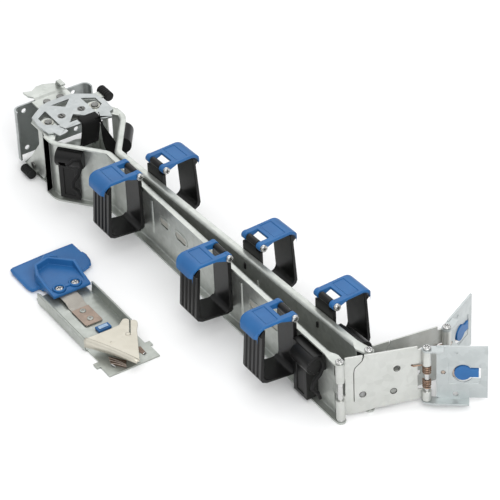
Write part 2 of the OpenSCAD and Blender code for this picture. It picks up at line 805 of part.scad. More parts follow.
module plain_spring(z0, z1) {
    count = coil_turns * steps_per_turn;
    tube([for (i = [0 : count])
        let (a = 360 * i / steps_per_turn)
        [coil_r * cos(a), coil_r * sin(a), z0 + wire_r + (z1 - z0 - 2 * wire_r) * i / count]],
        wire_r, 6);
}

module tab_springs() {
    torsion_spring(coil_high[0], coil_high[1]);
    plain_spring(coil_low[0], coil_low[1]);
}

module front_tab_springs() {
    color(spring_copper) at_pin(P3, front_link_turn) tab_springs();
}

module rear_tab_springs() {
    color(spring_copper) at_pin(P4, rear_link_turn) tab_springs();
}

// ------------------------------------------------------------ rail tabs
tab_face = knuckle_r - sheet;                // outer face of a tab's plate
tab_start = 6.7;
tab_low = 6.8;
tab_top = 52.5;
button_x = 25.4;
button_z = 29.3;
button_end = 36.5;
button_w = 7.2;
button_gap = 0.5;
leaf_x = 8.5;
leaf_h = 10;
leaf_t = 0.5;
leaf_rivet_x = 11.5;

module keyhole_2d(grow) {
    translate([button_x, button_z]) circle(button_r + grow);
    translate([button_x, button_z - button_w / 2 - grow])
        square([button_end - button_x + grow, button_w + 2 * grow]);
}

module rail_tab() {
    difference() {
        union() {
            upright(tab_face, knuckle_r) {
                translate([tab_start, tab_low]) square([tab_len - tab_start, tab_top - tab_low]);
                translate([8, tab_foot_low]) square([22, 4]);
                translate([tab_start, tab_ear_low - 3]) square([6, 4.5]);
            }
            // upper ear and foot that hold the hinge pin
            translate([0, 0, tab_ear_low]) linear_extrude(sheet) {
                circle(knuckle_r + 0.4);
                translate([0, -knuckle_r - 0.4]) square([12, 2 * knuckle_r + 0.4]);
            }
            translate([0, 0, tab_foot_low]) linear_extrude(sheet) {
                circle(knuckle_r + 0.4);
                polygon([
                    [0, -knuckle_r - 0.4], [6, -knuckle_r - 1.8], [30, -knuckle_r - 1.8],
                    [30, knuckle_r], [0, knuckle_r]]);
            }
        }
        cylinder(r = bore_r, h = 2 * arm_h);
        upright(tab_face - 1, knuckle_r + 1) {
            keyhole_2d(button_gap);
            translate([20.3, tab_low + 3.1]) circle(tab_hole_d / 2);
            translate([leaf_rivet_x, button_z]) circle(1.7);
        }
        // sunken panel round the keyhole
        upright(tab_face - 1, tab_face + 0.4)
            translate([15.3, 19.6]) square([22.1, 18.5]);
        // dimple
        upright(tab_face - 1, tab_face + 0.5) translate([20.4, 47.4]) circle(1.3);
    }
}

module front_rail_tab() {
    color(bright_zinc) at_pin(P3, front_tab_turn) rail_tab();
}

module rear_rail_tab() {
    color(bright_zinc) at_pin(P4, rear_tab_turn) rail_tab();
}

// Flat spring behind the plate, with the rivet that holds it
module latch_leaf() {
    upright(knuckle_r, knuckle_r + leaf_t) {
        translate([leaf_x, button_z - leaf_h / 2]) square([button_x - leaf_x, leaf_h]);
        translate([button_x, button_z]) circle(leaf_h / 2);
        translate([button_x, button_z - 2.5]) square([button_end - button_x - 1, 5]);
    }
    upright(tab_face + 0.2, knuckle_r) translate([leaf_rivet_x, button_z]) circle(1.3);
    upright(knuckle_r + leaf_t, knuckle_r + leaf_t + 0.8)
        translate([leaf_rivet_x, button_z]) circle(2.2);
}

module front_latch_leaf() {
    color(spring_copper) at_pin(P3, front_tab_turn) latch_leaf();
}

module rear_latch_leaf() {
    color(spring_copper) at_pin(P4, rear_tab_turn) latch_leaf();
}

module latch_button() {
    upright(tab_face - 0.6, knuckle_r) keyhole_2d(0);
}

module front_latch_button() {
    color(blue_plastic) at_pin(P3, front_tab_turn) latch_button();
}

module rear_latch_button() {
    color(blue_plastic) at_pin(P4, rear_tab_turn) latch_button();
}

// ------------------------------------------------------------ baskets
leg_w = 21.5;                                // width of a basket's inner leg
neck_w = 12;                                 // width of the hinge block between the lid's arms
shoulder_z = 60;
inner_top = 55.6;
barb = 2;                                    // catch for the lid at the top of the outer leg
basket_lean = 2.6;                           // how far the outer leg leans in at its top
floor_rise = 2.6;                            // rise of the floor towards the outer leg
floor_t = 2.2;
corner_r = 5;
lid_pin_y = 2.4;                             // lid hinge, out from the back of the inner leg
lid_ring_r = 3.2;
lid_arm_w = 4.6;
lid_top = lid_pin_z + 2.8;
outer_top = lid_top - lid_t - 0.6;           // top of the outer leg, just under the lid
lid_reach = 3;                               // how far the lid's nose stands past the basket
nose_r = 9.5;
lid_corner_r = 4.5;

// Basket frame: middle of the basket along x, y out from the back of its inner leg
module at_basket(x, web) {
    translate([x, web_y(web) + flange_w + seat_gap, 0]) children();
}

// Section of the basket across the arm, drawn in y and z
module basket_section() {
    d = basket_depth;
    w = basket_wall;
    low = basket_low;
    leg = d - basket_lean;
    difference() {
        polygon([
            [1.5, low], [d - 5, low + floor_rise], [d - 1.2, low + floor_rise + 2],
            [d, low + floor_rise + 5], [leg, outer_top - 6.5], [leg + barb, outer_top - 4.5],
            [leg, outer_top - 1.8], [leg - 2, outer_top], [w + 1, outer_top],
            [w + 1, inner_top], [0, inner_top], [0, low + 1.5]]);
        polygon(concat(
            [[w, outer_top + 1]],
            arc([w + corner_r, low + floor_t + corner_r], corner_r, 180, 270),
            arc([d - w - corner_r, low + floor_rise + floor_t + corner_r], corner_r, 270, 360),
            [[leg - w, outer_top + 1]]));
    }
}

// A groove that follows the leaning face of the outer leg
groove_x = [-7.5, -2.5, 2.5, 7.5];
groove_w = 2.2;
groove_t = 0.9;
module groove_section() {
    d = basket_depth;
    foot = basket_low + floor_rise + 5;
    head = outer_top - 8;
    polygon([
        [d - groove_t, foot], [d + 1, foot], [d - basket_lean + 1, head],
        [d - basket_lean - groove_t + 0.3, head]]);
}

module basket() {
    difference() {
        union() {
            difference() {
                translate([-basket_w / 2, 0, 0]) rotate([90, 0, 90])
                    linear_extrude(basket_w) basket_section();
                // the inner leg is narrower than the rest
                for (side = [0, 1]) {
                    mirror([side, 0, 0]) translate([leg_w / 2, -1, 0])
                        cube([basket_w, basket_wall + 2, outer_top + 1]);
                }
                // grooves down the face of the outer leg
                for (x = groove_x) {
                    translate([x - groove_w / 2, 0, 0]) rotate([90, 0, 90])
                        linear_extrude(groove_w) groove_section();
                }
            }
            translate([-leg_w / 2, 0, inner_top - 1])
                cube([leg_w, basket_wall, shoulder_z - inner_top + 1]);
            translate([-neck_w / 2, 0, shoulder_z - 1])
                cube([neck_w, basket_wall + 1, lid_pin_z - shoulder_z + 1]);
            translate([-neck_w / 2, lid_pin_y, lid_pin_z]) rotate([0, 90, 0])
                cylinder(r = lid_ring_r - 0.4, h = neck_w);
            // hooks through the slots of the channel
            for (z = [slot_z_low, slot_z_high]) {
                translate([-slot_w / 2 + 0.2, -flange_w - seat_gap - 0.9, z + 0.3])
                    cube([slot_w - 0.4, flange_w + seat_gap + 1.4, slot_h - 0.6]);
                translate([-slot_w / 2 - 2, -flange_w - seat_gap + sheet, z + 0.3])
                    cube([slot_w + 4, flange_w + seat_gap - sheet + 0.5, slot_h - 0.6]);
            }
            translate([-slot_w / 2 - 2, 0, slot_z_low + 0.3])
                cube([slot_w + 4, basket_wall, 8]);
        }
        translate([-neck_w, lid_pin_y, lid_pin_z]) rotate([0, 90, 0])
            cylinder(r = lid_pin_d / 2 + pin_gap, h = 2 * neck_w);
    }
}

module lid_arm_section() {
    translate([lid_pin_y, lid_pin_z]) circle(lid_ring_r);
    polygon([
        [lid_pin_y - 1.2, lid_pin_z + 2.9], [lid_pin_y, lid_top], [13, lid_top],
        [13, lid_top - lid_t], [lid_pin_y + 1.5, lid_pin_z - 2.8]]);
}

// The plate ends in a round nose that turns down past the outer leg
module lid_plate_section() {
    nose_y = basket_depth + lid_reach - nose_r;
    translate([11, lid_top - lid_t]) square([nose_y - 11, lid_t]);
    translate([nose_y, lid_top - nose_r]) intersection() {
        difference() {
            circle(nose_r);
            circle(nose_r - lid_t);
        }
        translate([-edge, 0]) square(nose_r + 1);
    }
}

// Plan of the lid, with round corners at the nose
module lid_plan() {
    reach = basket_depth + lid_reach;
    translate([-lid_w / 2, -lid_ring_r]) square([lid_w, reach + lid_ring_r - lid_corner_r]);
    translate([-lid_w / 2 + lid_corner_r, 0]) square([lid_w - 2 * lid_corner_r, reach + 1]);
    for (side = [-1, 1]) {
        translate([side * (lid_w / 2 - lid_corner_r), reach - lid_corner_r]) circle(lid_corner_r);
    }
}

module lid() {
    difference() {
        union() {
            for (side = [-1, 1]) {
                translate([side * (lid_w - lid_arm_w) / 2 - lid_arm_w / 2, 0, 0])
                    rotate([90, 0, 90]) linear_extrude(lid_arm_w) lid_arm_section();
            }
            intersection() {
                translate([-lid_w / 2, 0, 0]) rotate([90, 0, 90])
                    linear_extrude(lid_w) lid_plate_section();
                translate([0, 0, lid_top - 2 * nose_r]) linear_extrude(3 * nose_r) lid_plan();
            }
        }
        translate([-lid_w, lid_pin_y, lid_pin_z]) rotate([0, 90, 0])
            cylinder(r = lid_pin_d / 2 + pin_gap, h = 2 * lid_w);
        // sunken panel
        translate([-lid_w / 2 + 2.5, 14.5, lid_top - 0.5])
            cube([lid_w - 5, basket_depth - nose_r - 13, 1]);
    }
}

module lid_pins(baskets, web) {
    for (x = baskets) {
        at_basket(x, web) translate([0, lid_pin_y, lid_pin_z]) rotate([0, 90, 0]) {
            translate([0, 0, -lid_w / 2 - 0.3]) cylinder(r = lid_pin_d / 2, h = lid_w + 1);
            translate([0, 0, lid_w / 2 + 0.2]) cylinder(r = 2.8, h = 2);
        }
    }
}

module front_basket(i) {
    color(black_plastic) on_front_arm() at_basket(front_baskets[i], front_web) basket();
}

module rear_basket(i) {
    color(black_plastic) on_rear_arm() at_basket(rear_baskets[i], rear_web) basket();
}

module front_lid(i) {
    color(blue_plastic) on_front_arm() at_basket(front_baskets[i], front_web) lid();
}

module rear_lid(i) {
    color(blue_plastic) on_rear_arm() at_basket(rear_baskets[i], rear_web) lid();
}

module front_lid_pins() {
    color(steel) on_front_arm() lid_pins(front_baskets, front_web);
}

module rear_lid_pins() {
    color(steel) on_rear_arm() lid_pins(rear_baskets, rear_web);
}

// ------------------------------------------------------------ cable tie clips
clip_w = 22;
clip_leg_w = 17;                             // width of its lower leg
clip_t = 3;
clip_low = 3;                                // its foot above the base of the channel
clip_high = arm_h - 4;                       // its top under the channel's folded edge
clip_play = 0.6;                             // gap between a clip and what stands beside it
clip_back = 2.8;                             // how far an elbow clip reaches back over the bend
roll_r = 7.5;                                // roll round which the tie is passed
tie_slot = [5.5, 4.5];

// Clip frame: x along the channel's back, y out from its outer face
module on_slope(web) {
    translate([ear_start + end_run, ear_side, 0])
        translate([flare_r * sin(flare_turn), -flare_r * (1 - cos(flare_turn)), 0])
            rotate([0, 0, -flare_turn]) translate([0, sheet, 0]) children();
}

// Clip that stands out from the channel by out; its leg starts leg_back before its roll
module tie_clip(out, leg_back) {
    roll_z = clip_high - roll_r;
    plate = clip_t + out;
    difference() {
        union() {
            translate([-leg_back, 0, roll_z - roll_r]) cube([clip_w + leg_back, plate, 2 * roll_r]);
            translate([-leg_back, 0, clip_low])
                cube([clip_leg_w, plate, roll_z - roll_r - clip_low + 1]);
            intersection() {
                translate([0, plate - 1, roll_z]) rotate([0, 90, 0]) cylinder(r = roll_r, h = clip_w);
                translate([0, 0, roll_z - roll_r]) cube([clip_w, plate + roll_r, 2 * roll_r]);
            }
        }
        // slot for the tie, and a groove down the lower leg
        translate([3.5, -1, roll_z - 5.5]) cube([tie_slot[0], plate + roll_r + 2, tie_slot[1]]);
        translate([4 - leg_back, plate - 0.8, clip_low + 3])
            cube([clip_leg_w - 8, 1, roll_z - roll_r - clip_low - 6]);
    }
}

// Clip between the last basket and the end of the channel
link_clip_out = 7;
link_clip_back = 6;
link_clip_gap = 9.5;                         // from its roll to the end of the channel
module link_clip(basket_x, web) {
    start = max(link_end - link_clip_gap - clip_w,
        basket_x + basket_w / 2 + clip_play + link_clip_back);
    translate([start, web_y(web) + sheet, 0]) tie_clip(link_clip_out, link_clip_back);
}

module front_elbow_clip() {
    color(black_plastic) on_front_arm() on_slope(front_web) translate([-clip_back, 0, 0]) tie_clip(0, 0);
}

module rear_elbow_clip() {
    color(black_plastic) on_rear_arm() on_slope(rear_web) translate([-clip_back, 0, 0]) tie_clip(0, 0);
}

module front_link_clip() {
    color(black_plastic) on_front_arm() link_clip(front_baskets[2], front_web);
}

module rear_link_clip() {
    color(black_plastic) on_rear_arm() link_clip(rear_baskets[2], rear_web);
}

// ------------------------------------------------------------ support bracket
// Bracket frame: the tray's link end at the origin, x running along the tray to the right
module on_support() {
    translate([base[0] - tray_off_x, base[1] - tray_off_y, 0]) children();
}

leaf_mid = 1;                                // line of the rivets across the tray
support_leaf_t = 0.8;
latch_mid = 5;                               // middle of the latch across the tray
latch_low = 4.4;                             // seat of the latch on its leaf
latch_front = -63;
latch_screw_x = -69;
latch_screw_pitch = 13.7;
leaf_rivets = [-41, -30];

module tray_section() {
    difference() {
        union() {
            translate([-tray_w / 2 + 2, 0]) square([tray_w - 4, tray_h]);
            translate([-tray_w / 2, 2]) square([tray_w, tray_h - 2]);
            for (side = [-1, 1]) {
                translate([side * (tray_w / 2 - 2), 2]) circle(2);
            }
        }
        translate([-tray_w / 2 + tray_sheet, tray_sheet])
            square([tray_w - 2 * tray_sheet, tray_h]);
    }
}

module support_tray() {
    color(zinc) on_support() difference() {
        translate([-tray_len, 0, 0]) rotate([90, 0, 90]) linear_extrude(tray_len) tray_section();
        for (x = leaf_rivets) {
            translate([x, leaf_mid, -1]) cylinder(r = 1.6, h = 4);
        }
        // side walls stop short of the latch
        translate([-tray_len - 1, -tray_w, latch_low - 1]) cube([17, 2 * tray_w, tray_h]);
    }
}

module support_leaf_spring() {
    color(spring_copper) on_support() difference() {
        union() {
            translate([0, leaf_mid - 7, 0]) upright(0, 14) polygon([
                [-24, tray_sheet], [-50, tray_sheet], [-55, latch_low - support_leaf_t],
                [-76, latch_low - support_leaf_t], [-76, latch_low], [-54.6, latch_low],
                [-49.7, tray_sheet + support_leaf_t], [-24, tray_sheet + support_leaf_t]]);
        }
        for (x = leaf_rivets) {
            translate([x, leaf_mid, 0]) cylinder(r = 1.3, h = 6);
        }
    }
}

module support_rivets() {
    color(steel) on_support() for (x = leaf_rivets) {
        translate([x, leaf_mid, 0]) rivet(1.25, tray_sheet + 0.05, tray_sheet + support_leaf_t, 2.4, 0.8);
    }
}

module support_latch() {
    top = 13;
    color(blue_plastic) on_support() difference() {
        union() {
            // blade behind the body
            translate([0, 0, 1]) linear_extrude(3) polygon([
                [-116, -18], [-118, 36], [-96, 36.5], [-86, 33], [-84, 27], [-84, -18]]);
            // body: a pointed block that slopes down to the screws
            intersection() {
                translate([0, 0, latch_low]) linear_extrude(top) polygon([
                    [latch_front, latch_mid - 16], [latch_front, latch_mid + 16],
                    [-88, latch_mid + 17], [-104, latch_mid + 1], [-100, latch_mid - 12],
                    [-88, latch_mid - 17]]);
                upright(-40, 50) polygon([
                    [latch_front, latch_low], [latch_front, latch_low + 2.4],
                    [-76, latch_low + 5], [-86, top], [-110, top], [-110, latch_low]]);
            }
            translate([0, 0, 1]) linear_extrude(latch_low) polygon([
                [-80, latch_mid - 16], [-80, latch_mid + 16], [-88, latch_mid + 17],
                [-104, latch_mid + 1], [-100, latch_mid - 12], [-88, latch_mid - 17]]);
        }
        // recess inside the rim
        translate([0, 0, latch_low + 3]) linear_extrude(top) polygon([
            [latch_front + 1, latch_mid - 13.5], [latch_front + 1, latch_mid + 13.5],
            [-87, latch_mid + 14.5], [-101, latch_mid + 1], [-98, latch_mid - 10.5],
            [-87, latch_mid - 14.5]]);
        for (side = [-1, 1]) {
            translate([latch_screw_x, latch_mid - 1 + side * latch_screw_pitch / 2, 0]) {
                cylinder(r = 1.6, h = 20);
                translate([0, 0, latch_low + 1.6]) cylinder(r = 5, h = 20);
            }
        }
    }
}

module support_screws() {
    color(steel) on_support() for (side = [-1, 1]) {
        translate([latch_screw_x, latch_mid - 1 + side * latch_screw_pitch / 2, 0])
            rivet(1.5, latch_low, latch_low + 1.6, 3.2, 1.6);
    }
}

module support_end_cover() {
    color(beige_zinc) on_support() translate([0, 0, tray_h + 0.2]) linear_extrude(1.2) polygon([
        [-1, -20], [10, -23.5], [44, -3], [44, 0], [28, 8], [4, 19.5],
        [-2, 18.5], [-3, 13], [0, 8], [0, 0]]);
}

module support_foot_plate() {
    color(zinc) on_support() linear_extrude(tray_sheet) polygon([
        [0.05, -19], [17, -19], [17, -foot_half], [23, -foot_half], [23, -21], [36, -21],
        [36, 21.5], [22, 21.5], [22, foot_half], [17, foot_half], [17, 20], [0.05, 20]]);
}

module support_blue_clip() {
    color(blue_plastic) on_support() translate([-15, 3.5, tray_sheet]) difference() {
        translate([-3, -5.5, 0]) cube([6, 11, 2]);
        translate([-1.8, -4.2, 0.8]) cube([3.6, 8.4, 3]);
    }
}

front_arm();
rear_arm();
elbow_frame();
elbow_bottom_plate();
elbow_top_plate();
elbow_back_bracket();
elbow_pins();
elbow_washers();
elbow_screws();
upper_buffer();
lower_buffer();
elbow_strap();
front_link();
rear_link();
front_link_pin();
rear_link_pin();
front_tab_pin();
rear_tab_pin();
front_rail_tab();
rear_rail_tab();
front_tab_springs();
rear_tab_springs();
front_latch_leaf();
rear_latch_leaf();
front_latch_button();
rear_latch_button();
front_basket(0);  // front_basket_1
front_basket(1);  // front_basket_2
front_basket(2);  // front_basket_3
rear_basket(0);  // rear_basket_1
rear_basket(1);  // rear_basket_2
rear_basket(2);  // rear_basket_3
front_lid(0);  // front_lid_1
front_lid(1);  // front_lid_2
front_lid(2);  // front_lid_3
rear_lid(0);  // rear_lid_1
rear_lid(1);  // rear_lid_2
rear_lid(2);  // rear_lid_3
front_lid_pins();
rear_lid_pins();
front_elbow_clip();
front_link_clip();
rear_elbow_clip();
rear_link_clip();
support_tray();
support_latch();
support_leaf_spring();
support_screws();
support_rivets();
support_end_cover();
support_foot_plate();
support_blue_clip();
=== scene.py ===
import json
import math

import bmesh
import bpy
from mathutils import Matrix, Vector


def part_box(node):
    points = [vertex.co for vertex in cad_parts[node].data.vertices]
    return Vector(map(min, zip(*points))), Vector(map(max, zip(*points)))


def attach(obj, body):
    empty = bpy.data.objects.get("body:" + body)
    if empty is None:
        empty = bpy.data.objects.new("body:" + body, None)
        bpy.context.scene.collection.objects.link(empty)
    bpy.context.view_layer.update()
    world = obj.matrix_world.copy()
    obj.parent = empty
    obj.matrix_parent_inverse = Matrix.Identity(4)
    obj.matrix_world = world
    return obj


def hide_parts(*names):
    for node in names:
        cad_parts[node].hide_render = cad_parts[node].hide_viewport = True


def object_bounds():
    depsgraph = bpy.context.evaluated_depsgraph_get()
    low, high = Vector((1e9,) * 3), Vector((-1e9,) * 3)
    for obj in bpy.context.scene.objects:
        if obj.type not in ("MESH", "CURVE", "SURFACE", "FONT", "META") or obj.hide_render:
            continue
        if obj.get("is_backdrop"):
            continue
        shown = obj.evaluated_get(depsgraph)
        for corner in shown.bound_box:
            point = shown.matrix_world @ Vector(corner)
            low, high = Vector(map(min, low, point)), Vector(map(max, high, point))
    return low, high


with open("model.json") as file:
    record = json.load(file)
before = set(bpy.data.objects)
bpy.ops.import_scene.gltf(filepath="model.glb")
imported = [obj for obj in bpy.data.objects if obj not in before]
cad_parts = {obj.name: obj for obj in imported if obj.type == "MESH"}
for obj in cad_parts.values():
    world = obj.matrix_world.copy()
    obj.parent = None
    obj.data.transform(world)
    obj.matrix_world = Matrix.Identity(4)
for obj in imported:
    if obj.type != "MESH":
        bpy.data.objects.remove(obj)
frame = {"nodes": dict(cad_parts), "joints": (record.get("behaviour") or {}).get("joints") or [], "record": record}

# ---------------------------------------------------------------- viewpoint
# A long lens looks down on the folded arm from its link end, with the front
# arm nearest and the elbow farthest away at the left.
MM = 0.001
hinge = {joint["name"]: Vector(joint["pos_m"]) for joint in frame["joints"]}


def in_scene(thing):
    """Links an object into the scene and hands it back."""
    bpy.context.scene.collection.objects.link(thing)
    return thing


view_right = Vector((0.5382, 0.8420, -0.0355))
view_up = Vector((-0.4847, 0.3438, 0.8043))
view_back = -Vector((-0.6895, 0.4157, -0.5932))
stand_off = Vector((1331.2, -871.3, 1325.2)) * MM     # from the foot of the front link's pin
lens = bpy.data.cameras.new("viewpoint")
lens.sensor_width = 36
lens.lens = 210.7
lens.clip_start = 0.1
lens.clip_end = 20
camera = in_scene(bpy.data.objects.new("viewpoint", lens))
link_pin = hinge["front_link_hinge"]
view_turn = Matrix((view_right, view_up, view_back)).transposed().to_4x4()
stand = Vector((link_pin.x, link_pin.y, 0)) + stand_off
camera.matrix_world = Matrix.Translation(stand) @ view_turn
bpy.context.scene.camera = camera

# ---------------------------------------------------------------- studio
# A plain pale floor under a bright even sky that dims towards the horizon.
# A large soft box stands beyond the elbow, so that top faces shine, and a
# stronger one at the link end, whose plates are the brightest faces.
cad_low, cad_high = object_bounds()
bpy.context.scene.view_settings.view_transform = "Standard"
sky = bpy.data.worlds.new("studio")
bpy.context.scene.world = sky
sky.use_nodes = True
sky_tree = sky.node_tree
sky_light = sky_tree.nodes["Background"]
sky_light.inputs["Strength"].default_value = 1.05
sky_place = sky_tree.nodes.new("ShaderNodeTexCoord")
sky_height = sky_tree.nodes.new("ShaderNodeSeparateXYZ")
sky_ramp = sky_tree.nodes.new("ShaderNodeValToRGB")
horizon, zenith = sky_ramp.color_ramp.elements
horizon.position, horizon.color = 0.02, (0.42, 0.43, 0.44, 1)
zenith.position, zenith.color = 0.9, (1.1, 1.1, 1.1, 1)
sky_ramp.color_ramp.elements.new(0.5).color = (0.66, 0.67, 0.68, 1)
sky_tree.links.new(sky_place.outputs["Generated"], sky_height.inputs["Vector"])
sky_tree.links.new(sky_height.outputs["Z"], sky_ramp.inputs["Fac"])
sky_tree.links.new(sky_ramp.outputs["Color"], sky_light.inputs["Color"])

for name, place, aim, size, power in (
        ("link_end_box", (1.3, -0.3, 1.0), (0.1, 0.0, 0.0), 1.0, 14),
        ("elbow_box", (-1.2, 0.75, 1.15), (-0.1, 0.0, 0.0), 1.1, 4)):
    soft_box = bpy.data.lights.new(name, "AREA")
    soft_box.size = size
    soft_box.energy = power
    box_stand = in_scene(bpy.data.objects.new(name, soft_box))
    box_stand.location = place
    looking = (Vector(aim) - Vector(place)).to_track_quat("-Z", "Y")
    box_stand.rotation_euler = looking.to_euler()

floor_half = 4
floor_gap = 0.0002
floor_mesh = bpy.data.meshes.new("floor")
floor_mesh.from_pydata([(x * floor_half, y * floor_half, 0)
                        for x, y in ((-1, -1), (1, -1), (1, 1), (-1, 1))], [], [(0, 1, 2, 3)])
floor = in_scene(bpy.data.objects.new("floor", floor_mesh))
floor.location = (0, 0, cad_low.z - floor_gap)
floor_paint = bpy.data.materials.new("floor")
floor_paint.use_nodes = True
floor_shader = floor_paint.node_tree.nodes["Principled BSDF"]
floor_shader.inputs["Base Color"].default_value = (0.96, 0.96, 0.96, 1)
floor_shader.inputs["Roughness"].default_value = 0.9
floor_mesh.materials.append(floor_paint)
floor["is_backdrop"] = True

# ---------------------------------------------------------------- channel arms
# Two long channels pressed from galvanised sheet, with slots for the baskets,
# obround tie holes with pressed rims and an offset towards the elbow.


def new_finish(name):
    """A material for one of the arm's finishes: itself, its tree, its shader and its place."""
    finish = bpy.data.materials.new(name)
    finish.use_nodes = True
    tree = finish.node_tree
    place = tree.nodes.new("ShaderNodeTexCoord").outputs["Object"]
    return finish, tree, tree.nodes["Principled BSDF"], place


def mottle(tree, place, scale, detail):
    """The value of an uneven pattern, as many per metre as its scale."""
    pattern = tree.nodes.new("ShaderNodeTexNoise")
    pattern.inputs["Scale"].default_value = scale
    pattern.inputs["Detail"].default_value = detail
    tree.links.new(place, pattern.inputs["Vector"])
    return pattern.outputs["Fac"]


def shade_by(tree, shader, pattern, dark, light, dark_end, light_end):
    """Shades a finish from its dark to its light colour by a pattern."""
    tone = tree.nodes.new("ShaderNodeValToRGB")
    low_stop, high_stop = tone.color_ramp.elements
    low_stop.position, low_stop.color = dark_end, (*dark, 1)
    high_stop.position, high_stop.color = light_end, (*light, 1)
    tree.links.new(pattern, tone.inputs["Fac"])
    tree.links.new(tone.outputs["Color"], shader.inputs["Base Color"])


def grain_by(tree, shader, pattern, smoothest, roughest, depth):
    """Lets a pattern vary how rough a finish is, and gives it a fine relief."""
    polish = tree.nodes.new("ShaderNodeMapRange")
    polish.inputs["To Min"].default_value = smoothest
    polish.inputs["To Max"].default_value = roughest
    tree.links.new(pattern, polish.inputs["Value"])
    tree.links.new(polish.outputs["Result"], shader.inputs["Roughness"])
    relief = tree.nodes.new("ShaderNodeBump")
    relief.inputs["Strength"].default_value = depth
    relief.inputs["Distance"].default_value = 0.0001
    tree.links.new(pattern, relief.inputs["Height"])
    tree.links.new(relief.outputs["Normal"], shader.inputs["Normal"])


def zinc_finish(name, light, dark, roughness, metallic, spangle, grain):
    """Plated or coated sheet: a cloudy crystal pattern under fine rolling lines."""
    finish, tree, shader, place = new_finish(name)
    crystals = tree.nodes.new("ShaderNodeTexVoronoi")
    crystals.inputs["Scale"].default_value = spangle
    tree.links.new(place, crystals.inputs["Vector"])
    stretch = tree.nodes.new("ShaderNodeMapping")
    stretch.inputs["Scale"].default_value = (0.06, 0.06, 1.0)
    tree.links.new(place, stretch.inputs["Vector"])
    mix = tree.nodes.new("ShaderNodeMix")
    mix.data_type = "FLOAT"
    mix.inputs["Factor"].default_value = 0.35
    tree.links.new(mottle(tree, place, spangle * 0.25, 5), mix.inputs["A"])
    tree.links.new(crystals.outputs["Color"], mix.inputs["B"])
    shade_by(tree, shader, mix.outputs["Result"], dark, light, 0.25, 0.75)
    lines = mottle(tree, stretch.outputs["Vector"], grain, 3)
    grain_by(tree, shader, lines, roughness - 0.08, roughness + 0.1, 0.12)
    shader.inputs["Metallic"].default_value = metallic
    return finish


def body_of(node):
    bodies = frame["record"]["behaviour"]["bodies"]
    return next(body for body, nodes in bodies.items() if node in nodes)


def shown(name, mesh, body, finish=None):
    """Puts a finished mesh in the scene as a piece that rides on a body."""
    piece = in_scene(bpy.data.objects.new(name, mesh))
    if finish:
        mesh.materials.clear()
        mesh.materials.append(finish)
    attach(piece, body)
    return piece


def baked(draft):
    """The mesh of a draft object with its modifiers applied; the draft itself goes."""
    bpy.context.view_layer.update()
    seen = draft.evaluated_get(bpy.context.evaluated_depsgraph_get())
    made = bpy.data.meshes.new_from_object(seen)
    bpy.data.objects.remove(draft)
    return made


def meshed(bm, name):
    """The mesh of some edited faces, which are let go."""
    mesh = bpy.data.meshes.new(name)
    bm.to_mesh(mesh)
    bm.free()
    return mesh


def prism(outline, low, high, place=Matrix.Identity(4)):
    """A draft solid over an outline in millimetres, from one height to another."""
    bm = bmesh.new()
    base = [bm.verts.new(place @ (Vector((x, y, low)) * MM)) for x, y in outline]
    face = bm.faces.new(base)
    top = bmesh.ops.extrude_face_region(bm, geom=[face])["geom"]
    rise = (place.to_3x3() @ Vector((0, 0, high - low))) * MM
    raised = [v for v in top if isinstance(v, bmesh.types.BMVert)]
    bmesh.ops.translate(bm, vec=rise, verts=raised)
    bmesh.ops.recalc_face_normals(bm, faces=bm.faces)
    return in_scene(bpy.data.objects.new("draft", meshed(bm, "draft")))


def cut_away(draft, cutters):
    """Cuts some drafts out of another one."""
    for number, cutter in enumerate(cutters):
        cut = draft.modifiers.new(f"cut_{number}", "BOOLEAN")
        cut.operation = "DIFFERENCE"
        cut.object = cutter


def ease_edges(draft, edge, segments):
    """Rounds a draft's sharp edges and keeps its flat faces shaded flat."""
    bevel = draft.modifiers.new("edge", "BEVEL")
    bevel.width = edge * MM
    bevel.segments = segments
    bevel.limit_method = "ANGLE"
    bevel.angle_limit = math.radians(32)
    bevel.use_clamp_overlap = False
    smooth = draft.modifiers.new("shade", "WEIGHTED_NORMAL")
    smooth.weight = 100
    smooth.keep_sharp = True


def surface_area(mesh):
    mesh.calc_loop_triangles()
    return sum(triangle.area for triangle in mesh.loop_triangles)


weld = 2e-6
flat_turn = math.radians(0.4)
least_skin, most_skin = 0.85, 1.003      # shares of the solid's surface that eased edges leave
finer_edge = 0.4


def eased(node, finish, edge, segments=2, cuts=(), join=True):
    """A copy of a solid with eased edges, less some cuts, which takes the solid's place."""
    solid = frame["nodes"][node].data
    solid_area = surface_area(solid)
    for joined, width in ((join, edge), (False, edge), (False, edge * finer_edge)):
        mesh = solid.copy()
        mesh.materials.clear()
        mesh.materials.append(finish)
        bm = bmesh.new()
        bm.from_mesh(mesh)
        bmesh.ops.remove_doubles(bm, verts=bm.verts, dist=weld)
        if joined:
            bmesh.ops.dissolve_limit(bm, angle_limit=flat_turn, verts=bm.verts, edges=bm.edges)
        for face in bm.faces:
            face.smooth = True
        bm.to_mesh(mesh)
        bm.free()
        draft = in_scene(bpy.data.objects.new("draft", mesh))
        cut_away(draft, cuts)
        ease_edges(draft, width, segments)
        made = baked(draft)
        # a flat face with holes in it can tear when its triangles are joined
        if least_skin < surface_area(made) / solid_area < most_skin:
            break
    piece = shown(node + "_made", made, body_of(node))
    for cutter in cuts:
        bpy.data.objects.remove(cutter)
    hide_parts(node)
    return piece


